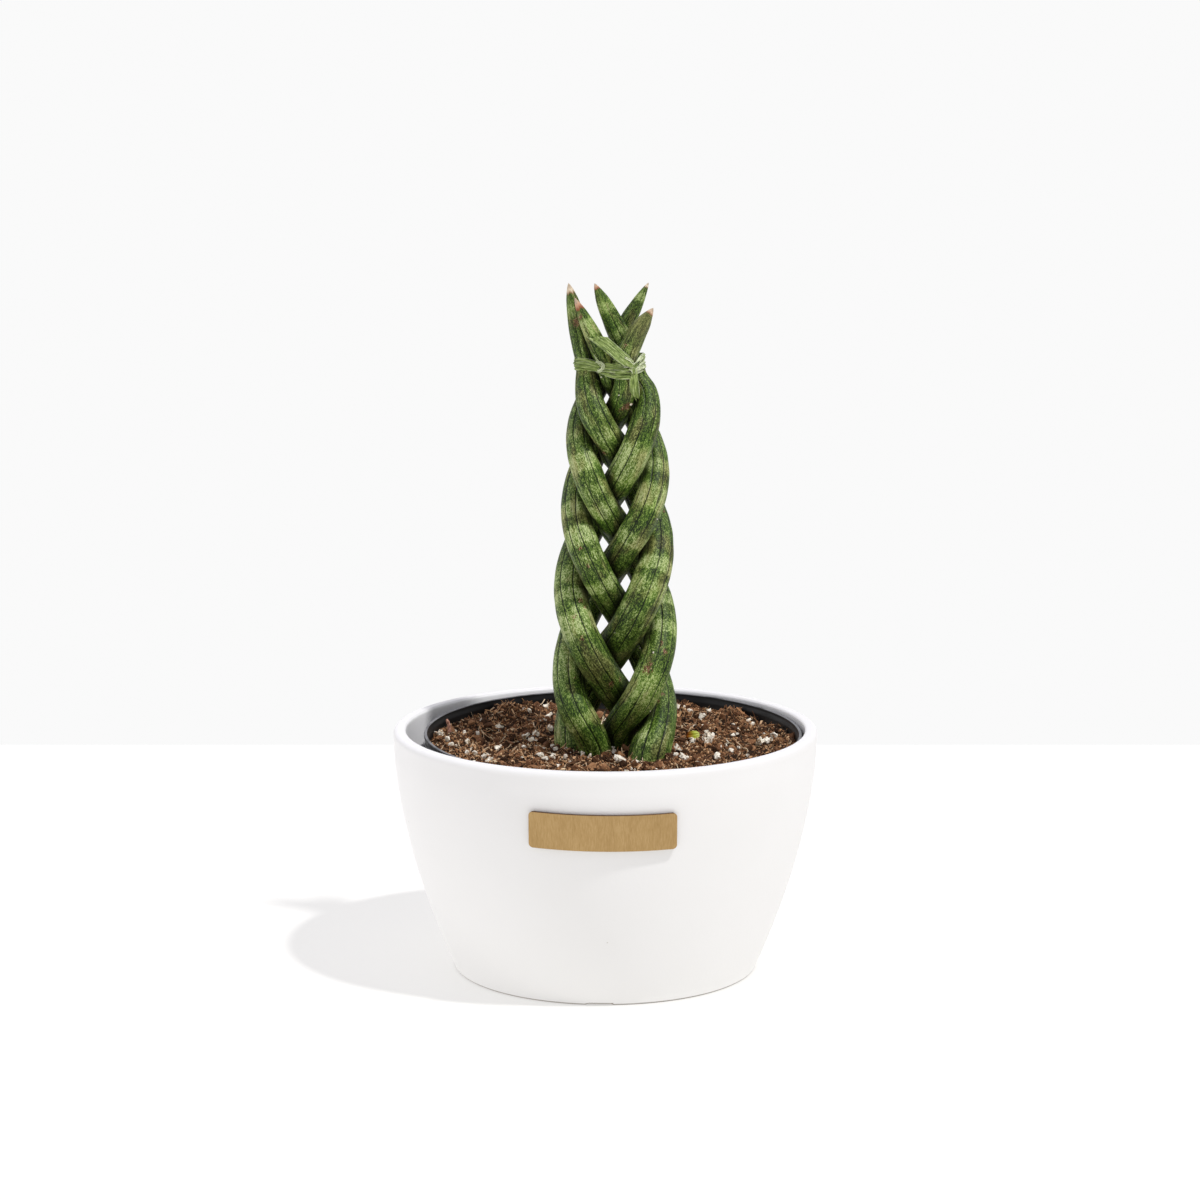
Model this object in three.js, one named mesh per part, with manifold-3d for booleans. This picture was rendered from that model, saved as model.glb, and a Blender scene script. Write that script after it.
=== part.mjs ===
// A cylindrical snake plant: five round leaves plaited over two and under two and tied near their tips.
// They grow in a black grower's pot that stands in a white cover pot with a blank brass plate.
// Millimetres, +Z up. The origin is the middle of the white pot's base, and the plate faces -Y.

import * as THREE from "three";
import { mergeVertices } from "three/addons/utils/BufferGeometryUtils.js";
import Module from "manifold-3d";

const wasm = await Module();
wasm.setup();

// ---- Driving dimensions ----

const TOUCH = 0.3; // clearance left where two pieces touch

const COVER = {
  baseRadius: 65.2,
  lipRadius: 91.1,
  lipHeight: 102.2, // where the rounded lip starts
  flare: 1.72, // how fast the wall bellies out from the base
  wall: 5.4,
  floor: 6,
  footRound: 1.2,
  sides: 48,
};
const COVER_NOTCH = { width: 10, height: 0.8, depth: 9, shift: -3 }; // air notch in the front of the base

const PLATE = {
  width: 60.5,
  height: 16,
  middleHeight: 79.8,
  thickness: 1.4,
  corner: 1.8,
  shift: -1.2,
  tilt: 0.0105, // it is stuck on a little askew: its right end is lower
};

const GROWER = {
  shift: 3.3, // it stands off-centre in the cover pot
  baseRadius: 56,
  shoulderRadius: 77.6,
  rimRadius: 81.3,
  shoulderHeight: 92,
  rimHeight: 102.6,
  rimWidth: 1.3,
  collarInside: 79.3, // of the upright part above the shoulder
  wall: 1.3,
  floor: 1.6,
  lean: [-0.003, 0.019], // its thin wall is out of true: the rim rises to the back
  sides: 56,
};
const DRAIN = { count: 6, radius: 5, ring: 42, sides: 12 };

const SOIL = {
  level: 95.5,
  slope: [0.01, 0.035], // it lies higher at the right and at the back
  rings: [72, 64, 54, 44, 33, 22, 11],
  clod: 0.7,
  sides: 48,
};
// Heaps against the wall: x, y, how far each one reaches, and its height.
const HEAPS = [[-44, 58, 8, 4.8], [-27, 68, 8, 1.4], [36, 65, 6, 1.8], [57, 51, 5, 3], [-62, 36, 9, 2.2],
  [-70, 12, 10, 3.2]];
const PERLITE = { count: 30, smallest: 1.1, largest: 2.3 };
const BARK = { count: 16, smallest: 2.2, largest: 4.4 };
const SCATTER = { radius: 74, tilt: 0.5, offLeaf: 6, offTwig: 8, offScrap: 9 }; // how far bits keep off

const PLAIT = {
  middle: 3.9, // the plait stands to the right of the cover pot's axis
  firstTurn: 247, // height of the topmost turn on the right
  spacing: 28.3, // drop from one turn to the next on the same side, at the top
  loosening: 1.45, // how that drop grows on the way down
  narrow: 5.8, // half width of the leaves' paths at the tie
  spread: 7.6, // how far they spread just below it
  spreadReach: 10,
  widening: 0.047, // and how they go on widening down to the soil
  shallow: 5.5,
  deepening: 10, // the same from front to back
  deepReach: 55,
  squareness: 0.05, // keeps the crossings straight and the turns round
};
const TIE_HEIGHT = 261;
const LOWEST = 68; // the leaves' lower ends in the soil
const ROOTED = { below: 12, above: 24 }; // a leaf leaves its place in the soil between these two
const RING_STEP = 2.6; // between points along a leaf; every second one is a ring of the solid
const FLUTES = { count: 8, depth: 0.55 };

// planted: x and y in the soil. bind: x and y at the tie. tip: x, y and z. girth, taper and foot shape the
// radius. held: how far below the tie the leaf keeps to its place there. bow: over 1 where the free end bends
// outwards. swing: how much further than the others it swings to the right and to the left.
const LEAVES = [
  { name: "leaf_tall_left", turn: 2, planted: [-12.5, 6], bind: [-7.6, 0.6], tip: [-15.5, 1, 295.4],
    girth: 1.1, taper: 9, foot: 1, held: 26, bow: 1, swing: [0.5, 0] },
  { name: "leaf_middle", turn: 0, planted: [15, 15], bind: [11.4, 3.6], tip: [-4.7, 0.5, 295.3],
    girth: 1.02, taper: 8.2, foot: 1, held: 14, bow: 1, swing: [0.3, 0.8] },
  { name: "leaf_right_back", turn: 3, planted: [6, 2], bind: [0, 6.8], tip: [18.4, 10.5, 294.7],
    girth: 1, taper: 12, foot: 1, held: 14, bow: 1, swing: [1, 0] },
  { name: "leaf_left_front", turn: 1, planted: [-4, -8], bind: [0.3, -4.6], tip: [-13, -4.5, 289.5],
    girth: 0.98, taper: 11, foot: 0.97, held: 14, bow: 1, swing: [1.7, 0] },
  { name: "leaf_right_front", turn: 4, planted: [17.5, -17], bind: [7.6, -5.2], tip: [19.9, -8.5, 285.8],
    girth: 0.97, taper: 6, foot: 1.2, held: 18, bow: 1.4, swing: [-0.5, 0] },
];
const GIRTH = {
  young: 5.6, // full radius near the tip
  growth: 2.2, // how much it grows downwards
  length: 65,
  stoutFrom: 28, // where a leaf's own girth starts to tell, from its tip
  stoutBy: 60,
  footHeight: 26, // over which the foot flares, above the soil
};
const SQUEEZE = { share: 0.12, reach: 9 }; // how much thinner the tie makes a leaf
const PRESS = 0.85; // pressed leaves flatten until their middles are this share of their radii apart
const LEAF_CLEAR = 0.5;
const SETTLE = {
  rounds: 260,
  step: 0.25, // the share of an overlap that one push takes away
  sideways: 0.5, // pressed leaves give way more to the front and back than sideways
  stiff: [0.992, 1, 0.99], // how much of its push a leaf keeps from round to round in x, y and z
};

const TIE = { height: 5.4, thickness: 0.65, groove: 0.25, clear: 0.42, sides: 40 };
const KNOT = { x: 11.4, z: 260.2, size: [3.4, 2.2, 3.1] };
const TAILS = [
  { from: [12.5, 260.5], to: [-4.4, 271.5], width: 4.9, end: 6.4, thickness: 0.7 },
  { from: [11.6, 259.5], to: [13.2, 246], width: 3.6, end: 1.4, thickness: 0.7 },
];

const SCRAP = { place: [37.7, 12], length: 5.9, width: 4.4, thickness: 0.7, tilt: 0.9, turn: 0.2 };
const TWIG = { place: [-68, 13], height: 6.9, depth: 5, radius: 0.8, lean: 2.2 };

// ---- Small tools ----

// The same run of numbers from 0 to 1 every time, for what is scattered.
function seeded(seed) {
  let state = seed;
  return () => {
    state = (state * 1664525 + 1013904223) % 4294967296;
    return state / 4294967296;
  };
}

function mix(a, b, share) {
  return a + (b - a) * share;
}

function ease(low, high, value) {
  return THREE.MathUtils.smoothstep(value, low, high);
}

function solidFrom(geometry) {
  const bare = new THREE.BufferGeometry();
  bare.setAttribute("position", geometry.attributes.position.clone());
  if (geometry.index) bare.setIndex(geometry.index.clone());
  const merged = mergeVertices(bare, 1e-3);
  const vertProperties = new Float32Array(merged.attributes.position.array);
  const triVerts = new Uint32Array(merged.index.array);
  return new wasm.Manifold(new wasm.Mesh({ numProp: 3, vertProperties, triVerts }));
}

function geometryFrom(solid) {
  const mesh = solid.getMesh();
  const geometry = new THREE.BufferGeometry();
  geometry.setAttribute("position", new THREE.BufferAttribute(mesh.vertProperties, 3));
  geometry.setIndex(new THREE.BufferAttribute(mesh.triVerts, 1));
  geometry.computeVertexNormals();
  return geometry;
}

function piece(name, geometry, material) {
  const mesh = new THREE.Mesh(geometry, material);
  mesh.name = name;
  return mesh;
}

// Spins [radius, height] points about the Z axis.
function turned(profile, sides) {
  const points = profile.map(([radius, height]) => new THREE.Vector2(radius, height));
  return new THREE.LatheGeometry(points, sides).rotateX(Math.PI / 2);
}

// Below zero where the faces point inwards.
function signedVolume(positions, index) {
  const corner = (i) => new THREE.Vector3().fromArray(positions, 3 * i);
  let volume = 0;
  for (let i = 0; i < index.length; i += 3) {
    volume += corner(index[i]).dot(corner(index[i + 1]).cross(corner(index[i + 2])));
  }
  return volume;
}

// Joins rings of equally many points into one skin facing out, with a flat cap or a point at each end.
function skinned(rings, closedLoop = false) {
  const positions = [];
  const index = [];
  const around = rings[0].length;
  rings.forEach((ring) => ring.forEach((point) => positions.push(...point.toArray())));
  const spans = closedLoop ? rings.length : rings.length - 1;
  for (let r = 0; r < spans; r++) {
    const next = (r + 1) % rings.length;
    for (let s = 0; s < around; s++) {
      const t = (s + 1) % around;
      index.push(r * around + s, r * around + t, next * around + t);
      index.push(r * around + s, next * around + t, next * around + s);
    }
  }
  if (!closedLoop) {
    [rings[0], rings[rings.length - 1]].forEach((ring, end) => {
      const middle = ring.reduce((sum, point) => sum.add(point), new THREE.Vector3());
      positions.push(...middle.divideScalar(around).toArray());
      const hub = positions.length / 3 - 1;
      const start = end ? (rings.length - 1) * around : 0;
      for (let s = 0; s < around; s++) {
        const t = (s + 1) % around;
        index.push(...(end ? [hub, start + s, start + t] : [hub, start + t, start + s]));
      }
    });
  }
  if (signedVolume(positions, index) < 0) index.reverse();
  const geometry = new THREE.BufferGeometry();
  geometry.setAttribute("position", new THREE.Float32BufferAttribute(positions, 3));
  geometry.setIndex(index);
  geometry.computeVertexNormals();
  return geometry;
}

// ---- Pots and plate ----

function coverRadius(height) {
  const rise = Math.min(height / COVER.lipHeight, 1);
  return mix(COVER.baseRadius, COVER.lipRadius, 1 - (1 - rise) ** COVER.flare);
}

function coverPot() {
  const { wall, floor, footRound, lipHeight, sides } = COVER;
  const heights = [8, 20, 35, 54, 76];
  const lip = wall / 2;
  const lipMiddle = COVER.lipRadius - lip;
  const outside = heights.map((height) => [coverRadius(height), height]);
  const inside = heights.slice(1).map((height) => [coverRadius(height) - wall, height]);
  const profile = [[0, 0], [coverRadius(0) - footRound, 0], [coverRadius(footRound), footRound]];
  profile.push(...outside);
  const lipSteps = 4;
  for (let step = 0; step <= lipSteps; step++) {
    const angle = (Math.PI * step) / lipSteps;
    profile.push([lipMiddle + lip * Math.cos(angle), lipHeight + lip * Math.sin(angle)]);
  }
  profile.push(...inside.reverse());
  profile.push([coverRadius(floor) - wall - 2, floor + 1.5]);
  profile.push([coverRadius(floor) - wall - 5, floor], [0, floor]);
  const { width, height, depth, shift } = COVER_NOTCH;
  const notch = new THREE.BoxGeometry(width, depth, height * 2);
  notch.translate(shift, -coverRadius(0), 0);
  return geometryFrom(solidFrom(turned(profile, sides)).subtract(solidFrom(notch)));
}

// The plate is bent round the cover pot's front, with rounded corners.
function plate() {
  const { width, height, middleHeight, thickness, corner, shift, tilt } = PLATE;
  const rings = [];
  const place = (along, lift) => {
    const level = middleHeight + lift - tilt * along;
    const inner = coverRadius(level) + TOUCH;
    const angle = -Math.PI / 2 + (along + shift) / coverRadius(level);
    return [inner, inner + thickness].map((radius) =>
      new THREE.Vector3(radius * Math.cos(angle), radius * Math.sin(angle), level));
  };
  const station = (along, half) => {
    const [innerLow, outerLow] = place(along, -half);
    const [innerMiddle, outerMiddle] = place(along, 0);
    const [innerHigh, outerHigh] = place(along, half);
    rings.push([innerLow, outerLow, outerMiddle, outerHigh, innerHigh, innerMiddle]);
  };
  const straight = width / 2 - corner;
  const rounding = [0.05, 0.4, 0.75, 1].map((share) => (share * Math.PI) / 2);
  rounding.forEach((angle) => station(-straight - corner * Math.cos(angle),
    height / 2 - corner + corner * Math.sin(angle)));
  for (let step = 1; step < 10; step++) station(mix(-straight, straight, step / 10), height / 2);
  rounding.reverse().forEach((angle) => station(straight + corner * Math.cos(angle),
    height / 2 - corner + corner * Math.sin(angle)));
  return skinned(rings);
}

const growerFloor = COVER.floor + TOUCH;

function growerInside(height) {
  const rise = (height - growerFloor) / (GROWER.shoulderHeight - growerFloor);
  return mix(GROWER.baseRadius, GROWER.shoulderRadius, rise) - GROWER.wall;
}

// Sets the grower's pot, or the soil in it, over its place and leans its upper part.
function inGrower(geometry) {
  geometry.translate(GROWER.shift, 0, 0);
  const position = geometry.attributes.position;
  for (let i = 0; i < position.count; i++) {
    const [x, y, z] = [position.getX(i), position.getY(i), position.getZ(i)];
    const rise = GROWER.lean[0] * (x - GROWER.shift) + GROWER.lean[1] * y;
    position.setZ(i, z + (rise * z) / GROWER.rimHeight);
  }
  return geometry;
}

function growerPot() {
  const { baseRadius, shoulderRadius, rimRadius, shoulderHeight, rimHeight, rimWidth, collarInside } = GROWER;
  const bottom = growerFloor;
  const inner = bottom + GROWER.floor;
  const profile = [
    [0, bottom],
    [baseRadius - 1.5, bottom],
    [baseRadius, bottom + 1.5],
    [shoulderRadius, shoulderHeight],
    [shoulderRadius + 0.3, shoulderHeight + 0.6],
    [rimRadius - 0.3, shoulderHeight + 1.4],
    [rimRadius, rimHeight - 0.6],
    [rimRadius - 0.4, rimHeight],
    [rimRadius - rimWidth, rimHeight],
    [rimRadius - rimWidth, rimHeight - 1.4],
    [collarInside, rimHeight - 1.7],
    [collarInside, shoulderHeight + 2.2],
    [growerInside(shoulderHeight), shoulderHeight],
    [growerInside(inner + 2), inner + 2],
    [growerInside(inner) - 2, inner],
    [0, inner],
  ];
  let pot = solidFrom(inGrower(turned(profile, GROWER.sides)));
  for (let hole = 0; hole < DRAIN.count; hole++) {
    const angle = (2 * Math.PI * hole) / DRAIN.count;
    const drill = new THREE.CylinderGeometry(DRAIN.radius, DRAIN.radius, 10, DRAIN.sides);
    drill.rotateX(Math.PI / 2);
    drill.translate(GROWER.shift + DRAIN.ring * Math.cos(angle), DRAIN.ring * Math.sin(angle), bottom);
    pot = pot.subtract(solidFrom(drill));
  }
  return geometryFrom(pot);
}

// ---- Leaves ----

// How many turns of the right-hand edge lie above a height.
function turnsAbove(height) {
  const { firstTurn, spacing, loosening } = PLAIT;
  const drop = firstTurn - height;
  return (Math.sqrt(spacing ** 2 + 4 * loosening * drop) - spacing) / (2 * loosening);
}

// Each leaf follows the same flat figure of eight, one fifth of it behind the next.
function plaitPoint(leaf, height) {
  const phase = (2 * Math.PI * (turnsAbove(height) - leaf.turn)) / LEAVES.length;
  const drop = Math.max(TIE_HEIGHT - height, 0);
  const spread = PLAIT.spread * (1 - Math.exp(-drop / PLAIT.spreadReach));
  const wide = PLAIT.narrow + spread + PLAIT.widening * drop;
  const deep = PLAIT.shallow + PLAIT.deepening * (1 - Math.exp(-drop / PLAIT.deepReach));
  const across = (Math.cos(phase) + PLAIT.squareness * Math.cos(3 * phase)) / (1 + PLAIT.squareness);
  const swing = across > 0 ? leaf.swing[0] : leaf.swing[1];
  return [PLAIT.middle + (wide + swing) * across, -deep * Math.sin(2 * phase)];
}

function leafPath(leaf) {
  const [tipX, tipY, tipZ] = leaf.tip;
  const count = 2 * Math.round((tipZ - LOWEST) / RING_STEP / 2);
  const points = [];
  for (let step = 0; step <= count; step++) {
    const height = mix(LOWEST, tipZ, step / count);
    let [x, y] = plaitPoint(leaf, height);
    const rooted = 1 - ease(SOIL.level - ROOTED.below, SOIL.level + ROOTED.above, height);
    x = mix(x, leaf.planted[0], rooted);
    y = mix(y, leaf.planted[1], rooted);
    const bound = ease(TIE_HEIGHT - leaf.held, TIE_HEIGHT, height);
    const above = Math.max((height - TIE_HEIGHT) / (tipZ - TIE_HEIGHT), 0) ** leaf.bow;
    x = mix(x, mix(leaf.bind[0], tipX, above), bound);
    y = mix(y, mix(leaf.bind[1], tipY, above), bound);
    points.push(new THREE.Vector3(x, y, height));
  }
  return points;
}

function leafRadii(leaf, points) {
  const radii = new Array(points.length).fill(0);
  let fromTip = 0;
  for (let i = points.length - 2; i >= 0; i--) {
    fromTip += points[i].distanceTo(points[i + 1]);
    const full = GIRTH.young + GIRTH.growth * (1 - Math.exp(-fromTip / GIRTH.length));
    const stout = mix(1, leaf.girth, ease(GIRTH.stoutFrom, GIRTH.stoutBy, fromTip));
    const foot = mix(leaf.foot, 1, ease(SOIL.level, SOIL.level + GIRTH.footHeight, points[i].z));
    const squeeze = 1 - SQUEEZE.share * Math.exp(-(((points[i].z - TIE_HEIGHT) / SQUEEZE.reach) ** 2));
    radii[i] = (full * stout * foot * squeeze * fromTip) / (fromTip + leaf.taper);
  }
  return radii;
}

// Pushes leaves apart where they would pass through each other, and spreads each push along the leaf.
function settle(leaves) {
  const pushes = leaves.map((leaf) => leaf.path.map(() => new THREE.Vector3()));
  const away = new THREE.Vector3();
  const stiff = new THREE.Vector3(...SETTLE.stiff);
  for (let round = 0; round < SETTLE.rounds; round++) {
    for (let i = 0; i < leaves.length; i++) {
      for (let j = i + 1; j < leaves.length; j++) {
        for (let a = 1; a < leaves[i].path.length; a++) {
          for (let b = 1; b < leaves[j].path.length; b++) {
            const p = leaves[i].path[a];
            const q = leaves[j].path[b];
            const wanted = PRESS * (leaves[i].radii[a] + leaves[j].radii[b]) + LEAF_CLEAR;
            if (Math.abs(p.z - q.z) > wanted) continue;
            away.subVectors(p, q);
            const apart = away.length();
            if (apart >= wanted) continue;
            away.multiplyScalar((SETTLE.step * (wanted - apart)) / apart);
            away.x *= SETTLE.sideways;
            pushes[i][a].add(away);
            pushes[j][b].sub(away);
          }
        }
      }
    }
    leaves.forEach((leaf, i) => {
      const given = pushes[i];
      const smooth = given.map((push, a) => {
        const before = given[Math.max(a - 1, 0)];
        const after = given[Math.min(a + 1, given.length - 1)];
        return push.clone().multiplyScalar(0.4).addScaledVector(before, 0.3).addScaledVector(after, 0.3);
      });
      smooth.forEach((push, a) => {
        given[a].copy(push).multiply(stiff);
        leaf.path[a].copy(leaf.rest[a]).add(given[a]);
      });
    });
  }
}

function nearest(path, point) {
  let best = 0;
  let least = Infinity;
  path.forEach((other, i) => {
    const distance = other.distanceToSquared(point);
    if (distance < least) {
      least = distance;
      best = i;
    }
  });
  return best;
}

// Distance from a point to a leaf's middle line, and the leaf's radius there.
function gapTo(leaf, point) {
  const i = nearest(leaf.path, point);
  let distance = Infinity;
  const line = new THREE.Line3();
  const foot = new THREE.Vector3();
  [i - 1, i].forEach((start) => {
    if (start < 0 || start + 1 >= leaf.path.length) return;
    line.set(leaf.path[start], leaf.path[start + 1]);
    line.closestPointToPoint(point, true, foot);
    distance = Math.min(distance, foot.distanceTo(point));
  });
  return [distance, leaf.radii[i]];
}

// How far a leaf reaches in one direction before it meets its neighbours.
function reachOut(others, middle, direction, radius) {
  let reach = radius;
  const point = new THREE.Vector3();
  others.forEach((other) => {
    for (let trial = 0; trial < 12; trial++) {
      point.copy(middle).addScaledVector(direction, reach);
      const [distance, girth] = gapTo(other, point);
      const short = (reach * girth) / radius + LEAF_CLEAR - distance;
      if (short <= 0) break;
      reach -= 0.4 * short;
    }
  });
  return Math.max(reach, 0.25 * radius);
}

// The directions from a leaf's middle line to its skin at each point, evenly spaced and without twist.
function spokes(path, count) {
  const side = new THREE.Vector3(0, -1, 0);
  return path.map((point, i) => {
    const ahead = path[Math.min(i + 1, path.length - 1)];
    const along = new THREE.Vector3().subVectors(ahead, path[Math.max(i - 1, 0)]).normalize();
    side.addScaledVector(along, -side.dot(along)).normalize();
    const across = new THREE.Vector3().crossVectors(along, side);
    return Array.from({ length: count }, (_, k) => {
      const angle = (2 * Math.PI * k) / count;
      return side.clone().multiplyScalar(Math.cos(angle)).addScaledVector(across, Math.sin(angle));
    });
  });
}

// Round fluted rings along the leaf, flattened where a neighbour presses on it. Each corner takes the least
// room found at it and halfway to its neighbours, so that the flat faces between corners stay clear too.
function leafSkin(leaf, leaves) {
  const others = leaves.filter((other) => other !== leaf);
  const { path, radii } = leaf;
  const last = path.length - 1;
  const half = FLUTES.count * 4; // two spokes for each corner, and two corners for each flute
  const directions = spokes(path, half);
  const room = path.slice(0, last).map((point, i) =>
    directions[i].map((direction) => reachOut(others, point, direction, radii[i]) / radii[i]));
  const rings = [];
  for (let i = 0; i < last; i += 2) {
    const flute = FLUTES.depth * ease(0.5, 4, radii[i]);
    const ring = [];
    for (let k = 0; k < half; k += 2) {
      const least = [i - 1, i, i + 1].map((level) => {
        const around = room[Math.min(Math.max(level, 0), last - 1)];
        return Math.min(around[(k + half - 1) % half], around[k], around[(k + 1) % half]);
      });
      const crest = radii[i] - (k % 4 ? flute : 0);
      const radius = Math.min(radii[i] * Math.min(...least), crest);
      ring.push(directions[i][k].clone().multiplyScalar(radius).add(path[i]));
    }
    rings.push(ring);
  }
  const geometry = skinned(rings);
  // The last cap is drawn out to the tip.
  const position = geometry.attributes.position;
  position.setXYZ(position.count - 1, ...path[last].toArray());
  geometry.computeVertexNormals();
  return geometry;
}

// A plain round hole for a leaf, from its lower end to above the soil.
function leafHole(leaf) {
  const sides = 14;
  const directions = spokes(leaf.path, sides);
  const top = leaf.path.findIndex((point) => point.z > SOIL.level + 12);
  const rings = [];
  for (let i = 0; i <= top; i += 2) {
    const radius = (leaf.radii[i] + TOUCH) / Math.cos(Math.PI / sides);
    const sunk = i === 0 ? TOUCH : 0;
    rings.push(directions[i].map((direction) =>
      direction.clone().multiplyScalar(radius).add(leaf.path[i]).setZ(
        leaf.path[i].z + direction.z * radius - sunk)));
  }
  return solidFrom(skinned(rings));
}

// ---- Soil ----

// A sloping plane with heaps at the wall and clods: smooth bumps of two sizes.
function soilHeight(x, y) {
  const { level, slope, clod } = SOIL;
  const heaped = HEAPS.reduce((sum, [heapX, heapY, reach, height]) =>
    sum + height * Math.exp(-((x - heapX) ** 2 + (y - heapY) ** 2) / (2 * reach ** 2)), 0);
  const coarse = Math.sin(x * 0.21 + 1.3) * Math.cos(y * 0.19 - 0.4);
  const fine = Math.sin(x * 0.47 - y * 0.31 + 0.8) * Math.cos(y * 0.53 + x * 0.12);
  return level + slope[0] * x + slope[1] * y + heaped + clod * (0.6 * coarse + 0.5 * fine);
}

function soilBody() {
  const inner = growerFloor + GROWER.floor + TOUCH;
  const shoulder = growerInside(GROWER.shoulderHeight) - 2 * TOUCH;
  const edge = GROWER.collarInside - 2 * TOUCH;
  const profile = [[0, inner], [growerInside(inner) - 3, inner]];
  profile.push([growerInside(inner + 3) - 2 * TOUCH, inner + 3], [shoulder, GROWER.shoulderHeight]);
  const sunk = profile.length + 1; // points below the surface
  profile.push([edge, GROWER.shoulderHeight + 2.2 + TOUCH]);
  profile.push(...[edge, ...SOIL.rings, 0].map((radius) => [radius, SOIL.level]));
  const body = inGrower(turned(profile, SOIL.sides));
  const position = body.attributes.position;
  for (let i = 0; i < position.count; i++) {
    const isTop = i % profile.length >= sunk;
    if (isTop) position.setZ(i, soilHeight(position.getX(i), position.getY(i)));
  }
  return solidFrom(body);
}

// A place on the soil, clear of the leaves.
function soilPlace(random, leaves) {
  for (;;) {
    const radius = SCATTER.radius * Math.sqrt(random());
    const angle = 2 * Math.PI * random();
    const x = GROWER.shift + radius * Math.cos(angle);
    const y = radius * Math.sin(angle);
    const point = new THREE.Vector3(x, y, soilHeight(x, y));
    const clear = leaves.every((leaf) => {
      const [distance, girth] = gapTo(leaf, point);
      return distance > girth + SCATTER.offLeaf;
    });
    const nearTwig = Math.hypot(x - TWIG.place[0], y - TWIG.place[1]) < SCATTER.offTwig;
    const nearScrap = Math.hypot(x - SCRAP.place[0], y - SCRAP.place[1]) < SCATTER.offScrap;
    if (clear && !nearTwig && !nearScrap) return point;
  }
}

// Perlite grains are rounded and pale; bark bits are flat and lie at all angles.
function scattered(kind, seed, leaves, grain) {
  const random = seeded(seed);
  const bits = [];
  for (let i = 0; i < kind.count; i++) {
    const size = mix(kind.smallest, kind.largest, random());
    const bit = grain(size, random);
    bit.rotateX(random() * SCATTER.tilt);
    bit.rotateZ(random() * 2 * Math.PI);
    const place = soilPlace(random, leaves);
    bit.translate(place.x, place.y, place.z + 0.1 * size);
    bits.push(solidFrom(bit));
  }
  return bits;
}

function soil(leaves) {
  const perlite = scattered(PERLITE, 11, leaves, (size) =>
    new THREE.IcosahedronGeometry(size, 0).scale(1, 0.85, 0.8));
  const bark = scattered(BARK, 29, leaves, (size) =>
    new THREE.BoxGeometry(size * 1.6, size * 0.7, size * 0.5));
  let body = soilBody();
  [...perlite, ...bark].forEach((bit) => {
    body = body.add(bit);
  });
  leaves.forEach((leaf) => {
    body = body.subtract(leafHole(leaf));
  });
  body = body.subtract(solidFrom(twigSkin(TOUCH)));
  const [largest] = body.decompose().sort((a, b) => b.volume() - a.volume());
  return geometryFrom(largest);
}

function twigSkin(spare) {
  const { place, height, depth, radius, lean } = TWIG;
  const ground = soilHeight(...place);
  const rings = [-depth - spare, 0, height * 0.55, height + spare].map((lift, i) => {
    const ring = [];
    const thick = (radius + spare) * [0.8, 1, 1.15, 0.9][i];
    const bend = lean * (lift / height);
    for (let k = 0; k < 7; k++) {
      const angle = (2 * Math.PI * k) / 7;
      ring.push(new THREE.Vector3(place[0] - bend + thick * Math.cos(angle),
        place[1] + thick * Math.sin(angle), ground + lift));
    }
    return ring;
  });
  return skinned(rings);
}

// A curled, half dry scrap of leaf that stands on its long edge on the soil.
function leafScrap() {
  const { place, length, width, thickness, tilt, turn } = SCRAP;
  const rings = [];
  for (let step = 0; step <= 6; step++) {
    const share = step / 6;
    const half = (width / 2) * Math.sin(Math.PI * mix(0.12, 0.9, share));
    const along = mix(-length / 2, length / 2, share);
    const lift = 0.9 * Math.abs(along / length) * 2;
    rings.push([[-half, 0.4], [0, 0], [half, 0.4], [half, 0.4 + thickness], [0, thickness],
      [-half, 0.4 + thickness]].map(([side, up]) => new THREE.Vector3(along, side, up + lift)));
  }
  const geometry = skinned(rings);
  geometry.rotateX(tilt);
  geometry.rotateZ(turn);
  geometry.translate(place[0], place[1], 0);
  let rise = -Infinity;
  const position = geometry.attributes.position;
  for (let i = 0; i < position.count; i++) {
    const needed = soilHeight(position.getX(i), position.getY(i)) + TOUCH - position.getZ(i);
    rise = Math.max(rise, needed);
  }
  return geometry.translate(0, 0, rise);
}

// ---- Tie ----

// The band's outline round the tied leaves: for each direction the outermost place and the direction itself.
function bandOutline(leaves, heights, distance) {
  const outline = [];
  for (let k = 0; k < TIE.sides; k++) {
    const angle = (2 * Math.PI * k) / TIE.sides;
    const out = new THREE.Vector3(Math.cos(angle), Math.sin(angle), 0);
    let furthest = -Infinity;
    let place = null;
    leaves.forEach((leaf) => leaf.path.forEach((point, i) => heights.forEach((height) => {
      const square = leaf.radii[i] ** 2 - (point.z - height) ** 2;
      if (square < 0) return;
      const middle = point.clone().setZ(0);
      const reach = middle.dot(out) + Math.sqrt(square);
      if (reach > furthest) {
        furthest = reach;
        place = middle.addScaledVector(out, Math.sqrt(square) + distance);
      }
    })));
    outline.push([place, out]);
  }
  return outline;
}

function tieBand(leaves) {
  const half = TIE.height / 2;
  const heights = [-half, 0, half].map((lift) => TIE_HEIGHT + lift);
  const outline = bandOutline(leaves, heights, TIE.clear);
  const rings = outline.map(([place, out]) => {
    const at = (outward, lift) => place.clone().addScaledVector(out, outward).setZ(TIE_HEIGHT + lift);
    const thick = TIE.thickness;
    return [at(0, -half), at(0, half), at(thick, half - 0.3), at(thick - TIE.groove, 0),
      at(thick, 0.3 - half)];
  });
  return solidFrom(skinned(rings, true));
}

// The foremost leaf surface at a place seen from the front.
function frontOf(leaves, x, z) {
  let front = Infinity;
  leaves.forEach((leaf) => leaf.path.forEach((point, i) => {
    const square = leaf.radii[i] ** 2 - (x - point.x) ** 2 - (z - point.z) ** 2;
    if (square > 0) front = Math.min(front, point.y - Math.sqrt(square));
  }));
  return front;
}

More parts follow.
